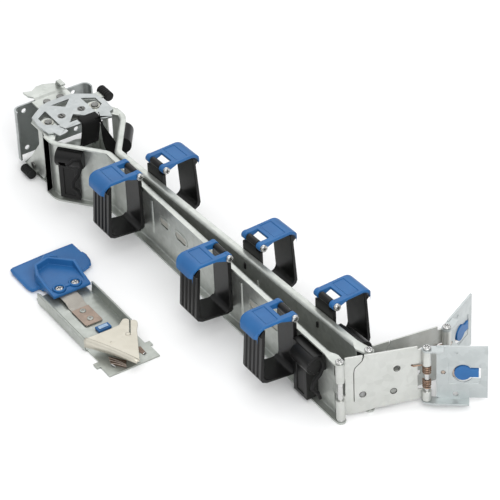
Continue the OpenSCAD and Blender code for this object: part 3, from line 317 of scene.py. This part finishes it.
def wire(name, points, radius, finish, body, place=Matrix.Identity(4), ends=1.0):
    """A round bar through points in millimetres, its ends drawn in by the given share."""
    path = bpy.data.curves.new(name, "CURVE")
    path.dimensions = "3D"
    path.bevel_depth = radius * MM
    path.bevel_resolution = 3
    path.use_fill_caps = True
    spline = path.splines.new("POLY")
    spline.points.add(len(points) - 1)
    for point, at in zip(spline.points, points):
        point.co = (*(place @ (Vector(at) * MM)), 1)
    spline.points[0].radius = ends
    spline.points[-1].radius = ends
    spline.use_smooth = True
    draft = in_scene(bpy.data.objects.new(name, path))
    return shown(name, baked(draft), body, finish)


arm_zinc = zinc_finish("galvanised_sheet", (0.55, 0.57, 0.54), (0.42, 0.44, 0.41),
                       0.36, 0.8, 260, 900)
for node in ("front_arm", "rear_arm"):
    eased(node, arm_zinc, 0.15, join=False)

# Each web has a stiffening bead beside its baskets' slots and, behind its two
# tie holes, the tongues of sheet that were pushed in when the holes were lanced.
# Painted shade: the tongues' sheet is darker and browner than the web, for the shade in the hollow behind the
# holes.
tongue_shaded_zinc = zinc_finish("tongue_shaded_zinc", (0.46, 0.45, 0.40), (0.37, 0.36, 0.315),
                          0.45, 0.3, 260, 900)
elbow_pin = {side: hinge[side + "_elbow_hinge"] for side in ("front", "rear")}
arm_turn = {"front": Matrix.Scale(-1, 4, (0, 1, 0)),
            "rear": Matrix.Rotation(math.radians(2.9), 4, "Z")}
web_face = {"front": -19.7, "rear": -21.8}
basket_slots = {"front": (107.2, 233.7), "rear": (111.1, 237.1)}
bead_from_slot = 15.5
bead_bends = ((1.2, 11), (1.1, 14), (1.1, 38), (1.2, 41))      # past the web, and height
tongue_spans = (("a", 26, 41.5), ("b", 49, 66.5))              # from the slot
tongue_low, tongue_high, tongue_slant = 28.5, 35.2, 2.5
tongue_sunk, tongue_reach = 0.05, 0.8
for side in ("front", "rear"):
    arm = side + "_arm"
    arm_place = Matrix.Translation((elbow_pin[side].x, elbow_pin[side].y, 0)) @ arm_turn[side]
    web_up = arm_place @ Matrix.Rotation(math.radians(90), 4, "X")
    y = web_face[side]
    for number, x in enumerate(basket_slots[side]):
        bead = [(x + bead_from_slot, y - out, z) for out, z in bead_bends]
        wire(f"{side}_web_bead_{number}", bead, 1.9, arm_zinc, body_of(arm), arm_place, 0.45)
        for letter, start, end in tongue_spans:
            low, high = x + start, x + end
            bent = [(low + tongue_slant, tongue_low), (high, tongue_low),
                    (high - tongue_slant, tongue_high), (low, tongue_high)]
            tongue = prism(bent, -tongue_sunk - y, tongue_reach - y, web_up)
            shown(f"{side}_tie_tongue_{number}_{letter}", baked(tongue), body_of(arm), tongue_shaded_zinc)

# ---------------------------------------------------------------- elbow
# A sheet steel box that both arms turn in: frame, floor and truss cover of
# zinc plated sheet, and a back plate screwed to the rack, painted darker as painted shade.
for node in ("elbow_frame", "elbow_bottom_plate"):
    eased(node, arm_zinc, 0.15)
cover_zinc = zinc_finish("cover_zinc", (0.44, 0.46, 0.46), (0.33, 0.35, 0.35),
                         0.32, 0.85, 300, 900)
eased("elbow_top_plate", cover_zinc, 0.15)
# Painted shade: the back plate's sheet is darker than the frame's, for the shadow behind the truss cover.
shaded_back_zinc = zinc_finish("shaded_back_sheet", (0.42, 0.445, 0.44), (0.31, 0.33, 0.325),
                        0.36, 0.8, 200, 700)
eased("elbow_back_bracket", shaded_back_zinc, 0.15)
dark_steel = zinc_finish("oiled_steel", (0.22, 0.22, 0.21), (0.13, 0.13, 0.125),
                         0.34, 0.85, 500, 1200)
eased("elbow_pins", dark_steel, 0.25)
washer_zinc = zinc_finish("washer_zinc", (0.42, 0.42, 0.38), (0.32, 0.32, 0.28),
                          0.3, 0.8, 500, 900)
eased("elbow_washers", washer_zinc, 0.1)
# The solid heads of the cover's screws are cut off above it; slotted ones are set
# there further down, with the heads of the links' pins.
cover_top = (Vector(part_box("elbow_top_plate")[1]) / MM).z
trim = prism([(-205, -22), (-165, -22), (-165, 17), (-205, 17)], cover_top + 0.02, cover_top + 5)
eased("elbow_screws", dark_steel, 0.2, 2, [trim])


# ---------------------------------------------------------------- rubber buffers
# Ribbed rubber sleeves pushed over tabs of the elbow's frame, where the arms
# come to rest. They are drawn in a little to leave the arms room.
def dull_black(name, colour, roughness, grain, depth):
    """Moulded black plastic, rubber or webbing with a fine even grain."""
    finish, tree, shader, place = new_finish(name)
    pits = mottle(tree, place, grain, 4)
    shade_by(tree, shader, pits, (colour * 0.7, colour * 0.7, colour * 0.7),
             (colour * 1.4, colour * 1.38, colour * 1.35), 0.0, 1.0)
    grain_by(tree, shader, pits, roughness - 0.07, roughness + 0.09, depth)
    shader.inputs["Specular IOR Level"].default_value = 0.28
    return finish


buffer_rubber = dull_black("buffer_rubber", 0.006, 0.55, 2500, 0.3)
for node, share in (("upper_buffer", 0.955), ("lower_buffer", 0.9)):
    sleeve = eased(node, buffer_rubber, 0.3).data
    middle = sum((v.co for v in sleeve.vertices), Vector()) / len(sleeve.vertices)
    for v in sleeve.vertices:
        v.co = middle + (v.co - middle) * share

# ---------------------------------------------------------------- elbow straps
# A woven strap hooked over the front of the truss cover, and a narrow black
# band of the same weave that drops from the cover's slit into the fold of the rear arm.
strap_weave = dull_black("strap_weave", 0.006, 0.75, 1800, 0.8)
strap_cells = 6


def thicken(draft, thickness, even):
    """Gives a draft sheet its thickness, half to each side."""
    thick = draft.modifiers.new("thickness", "SOLIDIFY")
    thick.thickness = thickness * MM
    thick.offset = 0
    thick.use_even_offset = even


def ribbon(name, path, across, width, thickness, body):
    """A woven strap along a path in millimetres, and its length; across says which way it lies."""
    bm = bmesh.new()
    rows = []
    for number, (point, way) in enumerate(zip(path, across)):
        ahead = path[min(number + 1, len(path) - 1)] - path[max(number - 1, 0)]
        side = (way - ahead.normalized() * way.dot(ahead.normalized())).normalized()
        rows.append([bm.verts.new((point + side * width * (k / strap_cells - 0.5)) * MM)
                     for k in range(strap_cells + 1)])
    for here, there in zip(rows, rows[1:]):
        for k in range(strap_cells):
            bm.faces.new((here[k], here[k + 1], there[k + 1], there[k])).smooth = True
    draft = in_scene(bpy.data.objects.new(name, meshed(bm, name)))
    thicken(draft, thickness, True)
    length = sum((b - a).length for a, b in zip(path, path[1:]))
    return shown(name, baked(draft), body, strap_weave), length * MM


strap_low, strap_high = (Vector(corner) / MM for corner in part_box("elbow_strap"))
strap_width = strap_high.y - strap_low.y
strap_middle = (strap_low.y + strap_high.y) / 2
hang = [Vector((x, strap_middle, z)) for x, z in (
    (strap_low.x - 0.2, strap_high.z - 0.75), (strap_high.x - 3.4, strap_high.z - 0.7),
    (strap_high.x - 1.6, strap_high.z - 0.9), (strap_high.x - 0.7, strap_high.z - 1.9),
    (strap_high.x - 0.8, strap_high.z - 4.5), (strap_high.x - 1.5, strap_high.z - 9),
    (strap_high.x - 2.9, strap_high.z - 15), (strap_high.x - 4.6, strap_high.z - 21),
    (strap_high.x - 6.4, strap_low.z + 1.2))]
hooked, hooked_length = ribbon("elbow_strap_cloth", hang, [Vector((0, 1, 0))] * len(hang),
                               strap_width, 1.1, "elbow")
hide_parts("elbow_strap")

drop_steps = 14
slit_way, fold_way = Vector((0.8, -0.5, 0.35)), Vector((0.55, 0.84, 0))
drop, ways = [], []
for k in range(drop_steps + 1):
    t = k / drop_steps
    sag = 3.2 * math.sin(math.pi * t)
    drop.append(Vector((-172.0 + 14.5 * t, 14.2 + 5.0 * t, 53.0 - 33.0 * t - sag)))
    ways.append(slit_way.lerp(fold_way, min(1.0, t * 1.3)))
narrow, narrow_length = ribbon("elbow_slit_cloth", drop, ways, 10.0, 0.8, "elbow")

# ---------------------------------------------------------------- links and rail tabs
# Bright zinc plated plates with rolled knuckles on pins, and at their ends
# the sprung tabs that hook on to the two rails.
link_zinc = zinc_finish("bright_zinc", (0.58, 0.59, 0.565), (0.49, 0.50, 0.475),
                        0.36, 0.7, 220, 700)
for node in ("front_link", "rear_link"):
    eased(node, link_zinc, 0.15)
screw_steel = zinc_finish("bright_steel", (0.60, 0.60, 0.59), (0.50, 0.50, 0.49),
                          0.22, 0.95, 800, 1200)
for node in ("front_link_pin", "rear_link_pin", "front_tab_pin", "rear_tab_pin"):
    eased(node, screw_steel, 0.3)
# Painted shade: a near black steel for the hollows of the heads and the rims of the link's holes, standing in for
# the shade inside them.
painted_shade_steel = zinc_finish("painted_shade_steel", (0.10, 0.10, 0.095), (0.05, 0.05, 0.048),
                           0.5, 0.7, 900, 1500)


def spun(profile, centre, sides):
    """Faces turned about an upright axis from radii and heights, and their rings of corners."""
    bm = bmesh.new()
    around = [2 * math.pi * k / sides for k in range(sides)]
    rings = [[bm.verts.new(centre + Vector((r * math.cos(a), r * math.sin(a), z)) * MM)
              for a in around] for r, z in profile]
    for lower, upper in zip(rings, rings[1:]):
        for k in range(sides):
            after = (k + 1) % sides
            bm.faces.new((lower[k], lower[after], upper[after], upper[k]))
    return bm, rings


head_sides = 32
head_curve = ((1, 0.0), (1, 0.45), (0.94, 0.75), (0.78, 0.93), (0.5, 1), (0.2, 1))


def head_template(name, radius, height, slots, slot_length, slot_width):
    """A domed head with a star recess, standing on the origin; its recess is marked."""
    profile = [(radius * wide, height * tall) for wide, tall in head_curve]
    bm, rings = spun(profile, Vector(), head_sides)
    bm.faces.new(rings[-1])
    bm.faces.new(list(reversed(rings[0])))
    for face in bm.faces:
        face.smooth = True
    draft = in_scene(bpy.data.objects.new(name, meshed(bm, name)))
    draft.data.materials.append(screw_steel)
    half, wide = slot_length / 2, slot_width / 2
    # The cutting bars hand their painted shade material on to the recess they leave.
    bars = []
    for k in range(slots):
        across = Matrix.Rotation(math.pi * k / slots, 4, "Z")
        bar = prism([(-half, -wide), (half, -wide), (half, wide), (-half, wide)],
                    height * 0.35, height * 2, across)
        bar.data.materials.append(painted_shade_steel)
        bars.append(bar)
    cut_away(draft, bars)
    for cut in draft.modifiers:
        cut.material_mode = "TRANSFER"
    mesh = baked(draft)
    for bar in bars:
        bpy.data.objects.remove(bar)
    dark = mesh.attributes.new("recess", "BOOLEAN", "FACE")
    for face in mesh.polygons:
        dark.data[face.index].value = face.material_index > 0
        face.material_index = 0
    return bpy.data.objects.new(name, mesh)


def heads_group():
    """Geometry nodes that set a head on every point, turned to face the way it says."""
    group = bpy.data.node_groups.new("set_heads", "GeometryNodeTree")
    group.interface.new_socket("Geometry", in_out="INPUT", socket_type="NodeSocketGeometry")
    for label, kind in (("Head", "Object"), ("Finish", "Material"), ("Recess", "Material")):
        group.interface.new_socket(label, in_out="INPUT", socket_type="NodeSocket" + kind)
    group.interface.new_socket("Geometry", in_out="OUTPUT", socket_type="NodeSocketGeometry")
    made = {name: group.nodes.new(kind) for name, kind in (
        ("given", "NodeGroupInput"), ("result", "NodeGroupOutput"),
        ("template", "GeometryNodeObjectInfo"), ("facing", "GeometryNodeInputNamedAttribute"),
        ("turn", "FunctionNodeAlignRotationToVector"), ("set", "GeometryNodeInstanceOnPoints"),
        ("realise", "GeometryNodeRealizeInstances"), ("paint", "GeometryNodeSetMaterial"),
        ("in_recess", "GeometryNodeInputNamedAttribute"), ("darken", "GeometryNodeSetMaterial"))}
    made["facing"].data_type = "FLOAT_VECTOR"
    made["facing"].inputs["Name"].default_value = "facing"
    made["in_recess"].data_type = "BOOLEAN"
    made["in_recess"].inputs["Name"].default_value = "recess"
    made["turn"].axis = "Z"
    for start, out, end, into in (
            ("given", "Geometry", "set", "Points"), ("given", "Head", "template", "Object"),
            ("template", "Geometry", "set", "Instance"), ("facing", "Attribute", "turn", "Vector"),
            ("turn", "Rotation", "set", "Rotation"), ("set", "Instances", "realise", "Geometry"),
            ("realise", "Geometry", "paint", "Geometry"), ("given", "Finish", "paint", "Material"),
            ("paint", "Geometry", "darken", "Geometry"), ("given", "Recess", "darken", "Material"),
            ("in_recess", "Attribute", "darken", "Selection"),
            ("darken", "Geometry", "result", "Geometry")):
        group.links.new(made[start].outputs[out], made[end].inputs[into])
    return group


set_heads_group = heads_group()


# Unless told otherwise, the heads' recesses take the painted shade steel.
def set_heads(name, body, template, spots, finish=screw_steel, recess=painted_shade_steel):
    """One piece of equal heads, each on its spot and facing its own way."""
    mesh = bpy.data.meshes.new(name)
    mesh.from_pydata([place for place, way in spots], [], [])
    facing = mesh.attributes.new("facing", "FLOAT_VECTOR", "POINT")
    for point, (place, way) in zip(facing.data, spots):
        point.vector = way
    draft = in_scene(bpy.data.objects.new(name, mesh))
    nodes = draft.modifiers.new("heads", "NODES")
    nodes.node_group = set_heads_group
    given = {"Head": template, "Finish": finish, "Recess": recess}
    for item in set_heads_group.interface.items_tree:
        if item.in_out == "INPUT" and item.name in given:
            nodes[item.identifier] = given[item.name]
    return shown(name, baked(draft), body)


UP = Vector((0, 0, 1))
elbow_x, elbow_y, cover_screw_y = -186.44, -2.48, 8.9
cover_head = head_template("cover_head", 2.3, 0.9, 1, 3.4, 1.0)
set_heads("cover_screw_heads", "elbow", cover_head,
          [(Vector((elbow_x, elbow_y + side * cover_screw_y, cover_top)) * MM, UP)
           for side in (-1, 1)], dark_steel)
pin_head = head_template("pin_head", 3.1, 0.9, 3, 4.0, 0.75)
link_pin_top, tab_pin_top = 53.75, 52.75
for joint, node, height in (("front_link_hinge", "front_link_pin", link_pin_top),
                            ("rear_link_hinge", "rear_link_pin", link_pin_top),
                            ("front_tab_hinge", "front_tab_pin", tab_pin_top),
                            ("rear_tab_hinge", "rear_tab_pin", tab_pin_top)):
    pin = hinge[joint]
    set_heads(node + "_head", body_of(node), pin_head,
              [(Vector((pin.x, pin.y, height * MM)), UP)])


def at_pin(joint, turn):
    """The place of a plate that hangs on a pin: x runs along it and z up."""
    pin = hinge[joint]
    return Matrix.Translation((pin.x, pin.y, 0)) @ Matrix.Rotation(math.radians(turn), 4, "Z")


# Torsion springs wound round the tab pins: the upper one runs back along the
# link into its hole, and the lower one only fills the pin.
copper = zinc_finish("coppered_steel", (0.36, 0.24, 0.17), (0.20, 0.13, 0.09),
                     0.3, 0.85, 900, 1500)
link_turn = {"front": 70.8, "rear": 81.5}
coil_r, coil_start, coil_turns, coil_steps = 2.75, 150, 3.5, 24
coil_points = round(coil_turns * coil_steps)
for side in ("front", "rear"):
    place = at_pin(side + "_tab_hinge", link_turn[side])
    node = side + "_tab_springs"
    for part, low, high in (("upper", 30.9, 36.9), ("lower", 17.9, 24.7)):
        path = []
        for i in range(coil_points + 1):
            a = math.radians(coil_start) + 2 * math.pi * (coil_points - i) / coil_steps
            path.append((coil_r * math.cos(a), coil_r * math.sin(a),
                         low + (high - low) * i / coil_points))
        if part == "upper":
            path += [(-4.5, 1.38, high), (-9.3, 1.38, high + 0.1), (-9.9, 1.8, high + 0.2),
                     (-10.1, 3.1, high + 0.2)]
        spring = wire(f"{side}_{part}_spring", path, 0.52, copper, body_of(node), place)
        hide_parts(node)

# The tab's plate is cut back round the lower and free edges of its button.
UPRIGHT = Matrix(((1, 0, 0, 0), (0, 0, 1, 0), (0, 1, 0, 0), (0, 0, 0, 1)))
tab_zinc = zinc_finish("tab_zinc", (0.50, 0.53, 0.53), (0.41, 0.44, 0.44), 0.34, 0.75, 220, 700)
tab_turn = {"front": 53.3, "rear": 117.0}
button_x, button_z, gap_r, gap_points = 25.4, 28.2, 7.6, 28
gap_start, gap_sweep = 38, 284
gap = []
for k in range(gap_points):
    a = math.radians(gap_start + gap_sweep * k / (gap_points - 1))
    gap.append((button_x + gap_r * math.cos(a), button_z + gap_r * math.sin(a)))
gap += [(37.9, 23.6), (37.9, 33.6)]
for side in ("front", "rear"):
    place = at_pin(side + "_tab_hinge", tab_turn[side]) @ UPRIGHT
    eased(side + "_rail_tab", tab_zinc, 0.15, 2, [prism(gap, 0.5, 4.5, place)])
leaf_copper = zinc_finish("leaf_copper", (0.50, 0.42, 0.36), (0.38, 0.31, 0.26),
                          0.32, 0.8, 900, 1500)
for node in ("front_latch_leaf", "rear_latch_leaf"):
    eased(node, leaf_copper, 0.1)

# Rims round the three holes in the front link's plate, drawn near black as painted shade in the holes.
rim_r, rim_y, rim_points = 2.4, 2.15, 32
place = at_pin("front_link_hinge", link_turn["front"])
for number, (x, z) in enumerate(((16.8, 19.1), (39.3, 17.3), (41.8, 37.0))):
    around = [2 * math.pi * k / rim_points for k in range(rim_points + 1)]
    ring = [(x + rim_r * math.cos(a), rim_y, z + rim_r * math.sin(a)) for a in around]
    wire(f"front_link_rim_{number}", ring, 0.22, painted_shade_steel, "front_link", place)


def tinted_plastic(name, colour, shade, roughness, grain):
    """Moulded plastic of one colour with a faint cloud and a fine even grain."""
    finish, tree, shader, place = new_finish(name)
    shade_by(tree, shader, mottle(tree, place, 60, 4), shade, colour, 0.3, 0.7)
    grain_by(tree, shader, mottle(tree, place, grain, 2),
             roughness - 0.05, roughness + 0.08, 0.15)
    shader.inputs["Specular IOR Level"].default_value = 0.35
    return finish


blue_plastic = tinted_plastic("blue_plastic", (0.021, 0.128, 0.335), (0.016, 0.103, 0.285),
                              0.4, 2200)
for node in ("front_latch_button", "rear_latch_button"):
    eased(node, blue_plastic, 0.3)

# ---------------------------------------------------------------- cable baskets
# Moulded black baskets hooked into slots of the channels, each shut by a
# blue lid that turns on a steel pin, and the clips for cable ties.
lid_pin_head = head_template("lid_pin_head", 2.6, 0.7, 2, 3.2, 0.9)
basket_black = dull_black("basket_black", 0.006, 0.34, 2200, 0.25)
lid_pin_way = {"front": Vector((1, 0, 0)), "rear": Vector((0.998719, 0.050593, 0))}
lid_pin_reach = 13.5
for side, along in lid_pin_way.items():
    for number in (1, 2, 3):
        eased(f"{side}_basket_{number}", basket_black, 0.5, 3)
        eased(f"{side}_lid_{number}", blue_plastic, 0.45, 3)
    eased(f"{side}_lid_pins", screw_steel, 0.3)
    ends = [(hinge[f"{side}_lid_hinge_{number}"] + along * lid_pin_reach * MM, along)
            for number in (1, 2, 3)]
    set_heads(f"{side}_lid_pin_heads", body_of(f"{side}_lid_pins"), lid_pin_head, ends)
    for end in ("elbow", "link"):
        eased(f"{side}_{end}_clip", basket_black, 0.4, 3)

# Webbing that hangs in loops from the outer end of the front arm's clips.
webbing = dull_black("webbing", 0.006, 0.7, 1800, 0.7)
for node, x, bends in (
        ("front_elbow_clip", -135.4,
         [(-36.5, 46), (-31, 49), (-25.5, 46.5), (-24, 40), (-27, 34), (-32, 29), (-33, 24.5),
          (-29, 20), (-27.5, 15)]),
        ("front_link_clip", 175.2,
         [(-19, 46), (-13, 48.5), (-8, 46), (-6.5, 39), (-9.5, 33), (-15, 28), (-16.5, 22.5),
          (-12, 17), (-10, 11)])):
    wire(node + "_webbing", [(x, y, z) for y, z in bends], 1.5, webbing, body_of(node), ends=0.8)

# ---------------------------------------------------------------- support bracket
# A loose tray that carries the arm's far end on the other rail, with a blue
# push latch on a leaf spring, a beige end cover and a foot plate.
tray_zinc = zinc_finish("tray_zinc", (0.44, 0.46, 0.43), (0.34, 0.36, 0.33), 0.36, 0.8, 260, 900)
tray_low, tray_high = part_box("support_tray")
support = Matrix.Translation((tray_high[0], (tray_low[1] + tray_high[1]) / 2, 0))


def spot(x, y, z):
    """A point of the support bracket, whose tray ends at x = 0 and has its middle at y = 0."""
    return support @ (Vector((x, y, z)) * MM)


def plate(name, outline, low, high, finish, body, edge, cuts=()):
    """A flat plate of the support bracket with eased edges."""
    draft = prism(outline, low, high, support)
    for face in draft.data.polygons:
        face.use_smooth = True
    cut_away(draft, cuts)
    ease_edges(draft, edge, 3)
    piece = shown(name, baked(draft), body, finish)
    for cutter in cuts:
        bpy.data.objects.remove(cutter)
    return piece


def turned(name, profile, centre, finish, body):
    """A round piece turned about an upright axis from a profile of radii and heights."""
    bm, rings = spun(profile, centre, 40)
    if profile[0] != profile[-1]:
        bm.faces.new(rings[-1])
        bm.faces.new(list(reversed(rings[0])))
    bmesh.ops.remove_doubles(bm, verts=bm.verts, dist=1e-6)
    bmesh.ops.recalc_face_normals(bm, faces=bm.faces)
    for face in bm.faces:
        face.smooth = len(face.verts) == 4
    return shown(name, meshed(bm, name), body, finish)


wall_ends = [prism([(-78, y), (-60.5, y), (-60.5, y + 3), (-78, y + 3)], -1, 12, support)
             for y in (-22.0, 19.0)]
eased("support_tray", tray_zinc, 0.15, 2, wall_ends)
plate("tray_near_wall", [(-70.5, -21), (-59.5, -21), (-59.5, -19.8), (-70.5, -19.8)],
      0.6, 9.4, tray_zinc, "root", 0.3)
wire("tray_near_roll", [(-71, -19.9, 8.6), (-68, -19.9, 9.0), (-2, -19.9, 9.0),
                        (-0.5, -19.9, 9.0)], 1.35, tray_zinc, "root", support, 0.6)
wire("tray_far_roll", [(-60, 20.3, 9.6), (-57, 20.3, 9.6), (-2, 20.3, 9.6),
                       (-0.5, 20.3, 9.6)], 0.9, tray_zinc, "root", support, 0.6)

# Foot plate, with the copper plated spring that shows under the end cover. The patch under
# the spring's wires and the patch in the slot are a darker copper: painted shade under the cover.
eased("support_foot_plate", tray_zinc, 0.12)
# Painted shade: a dark copper for the patches under the spring's wires and in the slot.
shaded_foot_copper = zinc_finish("shaded_foot_copper", (0.24, 0.17, 0.13), (0.12, 0.085, 0.065),
                          0.36, 0.7, 900, 1500)
plate("foot_spring", [(16.5, -10.5), (25.5, -13.6), (34.5, -6.4), (28, -2)],
      1.25, 2.0, shaded_foot_copper, "root", 0.2)
for number, (near, far) in enumerate((((18, -11.3), (33, -5.2)), ((21, -12.4), (34, -5.6)),
                                      ((24.5, -13.4), (35, -6.2)))):
    halfway = ((near[0] + far[0]) / 2, (near[1] + far[1]) / 2)
    wire(f"foot_wire_{number}", [(*near, 2.2), (*halfway, 2.9), (*far, 2.6)],
         0.45, leaf_copper, "root", support, 0.7)
# Painted highlight: a bright steel wire for the glint on the spring's end.
wire("foot_hook", [(25, -13.6, 1.7), (27.4, -13.4, 2.4), (29.5, -12.2, 1.7)],
     0.6, screw_steel, "root", support, 0.7)
plate("foot_slot", [(17.5, 9), (28, 11.6), (28.6, 14.6), (19, 15)],
      1.22, 1.5, shaded_foot_copper, "root", 0.1)
# Painted highlight: a bright steel wire for the glint at the slot's corner.
wire("foot_catch", [(27, 13.8, 1.6), (28.4, 13.4, 2.2), (28.2, 11.8, 1.6)],
     0.55, screw_steel, "root", support, 0.7)

# Push latch: the CAD body with raised screw bosses joined by a web, a lip
# round the blade's ends and a thumb bump on the rim.
eased("support_latch", blue_plastic, 0.55, 3)
latch_screws = [(-69, 4 + side * 6.85) for side in (-1, 1)]
boss = [(3.5, 6.2), (3.5, 8.5), (3.8, 8.8), (4.7, 8.8), (5.0, 8.5), (5.0, 6.2), (3.5, 6.2)]
for number, (x, y) in enumerate(latch_screws):
    turned(f"latch_boss_{number}", boss, spot(x, y, 0), blue_plastic, "support_latch")
plate("latch_web", [(-70.2, 1.2), (-67.8, 1.2), (-67.8, 6.8), (-70.2, 6.8)],
      7.0, 8.4, blue_plastic, "support_latch", 0.3)
for name, bends, radius, ends in (
        ("latch_near_lip", [(-116.5, -17.6, 2.4), (-112, -17.9, 2.1), (-90, -17.9, 2.1),
                            (-85, -17.6, 2.4)], 1.9, 0.75),
        ("latch_far_lip", [(-104, 36.3, 2.6), (-100, 36.6, 2.3), (-93, 35.6, 2.3),
                           (-87.5, 33.6, 2.6)], 1.9, 0.75),
        ("latch_back_lip", [(-116.6, -17, 3.2), (-117.2, 10, 3.4), (-117.6, 35.6, 3.2)],
         0.9, 0.8),
        ("latch_rim_bump", [(-102, 1, 12.0), (-104.2, 5, 12.3), (-103.6, 9.5, 12.3),
                            (-99.5, 13.5, 12.0)], 1.7, 0.5)):
    wire(name, bends, radius, blue_plastic, "support_latch", support, ends)
screw_head = head_template("screw_head", 3.25, 1.9, 2, 4.2, 0.85)
set_heads("latch_screw_heads", "support_latch", screw_head,
          [(spot(x, y, 6.3), UP) for x, y in latch_screws])
eased("support_screws", screw_steel, 0.4)

# Leaf spring: a grey strip with a riveted copper plated end.
leaf_grey = zinc_finish("leaf_grey", (0.34, 0.32, 0.285), (0.25, 0.235, 0.21),
                        0.34, 0.8, 300, 900)
eased("support_leaf_spring", leaf_grey, 0.1)
strip_copper = zinc_finish("strip_copper", (0.33, 0.255, 0.205), (0.24, 0.185, 0.15),
                           0.34, 0.75, 300, 900)
end_r, end_x = 2, -23.6
round_end = [(end_x - end_r + end_r * math.cos(a), y + end_r * math.sin(a))
             for y, start in ((-4.3, -90), (6.3, 0))
             for k in range(7) for a in [math.radians(start + 15 * k)]]
leaf_body = body_of("support_rivets")
plate("leaf_end_plate", [(-45.5, -6.3)] + round_end + [(-45.5, 8.3)],
      1.95, 2.4, strip_copper, leaf_body, 0.15)
eased("support_rivets", leaf_grey, 0.2)
ring_rivet = head_template("ring_rivet", 2.4, 0.6, 2, 1.7, 1.5)
set_heads("leaf_rivet_heads", leaf_body, ring_rivet,
          [(spot(x, 1, 2.45), UP) for x in (-41, -30)], tray_zinc, strip_copper)

# Small blue clip with a pale window.
eased("support_blue_clip", blue_plastic, 0.2)
pale_window = tinted_plastic("pale_window", (0.62, 0.74, 0.84), (0.20, 0.34, 0.52), 0.25, 900)
plate("clip_window", [(-16.9, -0.4), (-13.6, -0.4), (-13.6, 7.4), (-16.9, 7.4)],
      3.1, 3.5, pale_window, body_of("support_blue_clip"), 0.1)

# End cover: a flat plate with two lobes, a slit between them and a long
# front edge that is folded down towards the foot.
cover_beige = zinc_finish("beige_zinc", (0.60, 0.57, 0.49), (0.53, 0.50, 0.42),
                          0.38, 0.45, 200, 500)
front_edge = [(-0.6, -20.2), (1.4, -19.3), (9, -15.4), (16.9, -11.8), (24, -8.7), (30.7, -6.2),
              (38, -3.4), (43.6, -1.5)]
back_edge = [(44.2, -0.6), (43.4, 0.6), (28, 8.5), (12.3, 16.8), (7, 20.6), (4.5, 22.0),
             (2.2, 22.4), (0.4, 21.6), (-0.6, 19.6), (-1.8, 18.4), (-3.6, 17.9), (-4.9, 16.6),
             (-5.1, 14.8), (-3.6, 12.8), (-0.6, 9), (-0.2, 0)]
slit = prism([(-2.0, 18.6), (14.2, 9.1), (14.7, 9.9), (-1.5, 19.4)], 8, 14, support)
cover_plate = plate("end_cover_plate", front_edge + back_edge, 10.2, 11.4, cover_beige,
                    "root", 0.35, [slit])
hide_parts("support_end_cover")

edge_out = Vector((0.388, -0.922, 0))
fold_bends = ((-1.6, 11.5), (-0.7, 11.45), (0.0, 11.15), (0.45, 10.5), (0.55, 9.6))
fold_low, fold_rise = 4.2, 5.2          # height of the fold's free edge, and how far that climbs
bm = bmesh.new()
sections = []
for number, (x, y) in enumerate(front_edge):
    free_edge = (0.6, fold_low + fold_rise * number / (len(front_edge) - 1))
    sections.append([bm.verts.new(spot(x + edge_out.x * away, y + edge_out.y * away, z))
                     for away, z in (*fold_bends, free_edge)])
for here, there in zip(sections, sections[1:]):
    for k in range(len(fold_bends)):
        bm.faces.new((here[k], here[k + 1], there[k + 1], there[k])).smooth = True
bmesh.ops.recalc_face_normals(bm, faces=bm.faces)
fold_draft = in_scene(bpy.data.objects.new("cover_fold", meshed(bm, "cover_fold")))
thicken(fold_draft, 0.9, False)
shown("cover_fold", baked(fold_draft), "root", cover_beige)
turned("cover_dimple", [(2.1, 11.3), (1.9, 11.65), (1.2, 11.85), (0.3, 11.9)],
       spot(12.5, 8.9, 0), cover_beige, "root")
turned("cover_dot", [(0.9, 11.3), (0.8, 11.55), (0.2, 11.6)],
       spot(13.5, -6.0, 0), cover_beige, "root")

low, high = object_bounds()
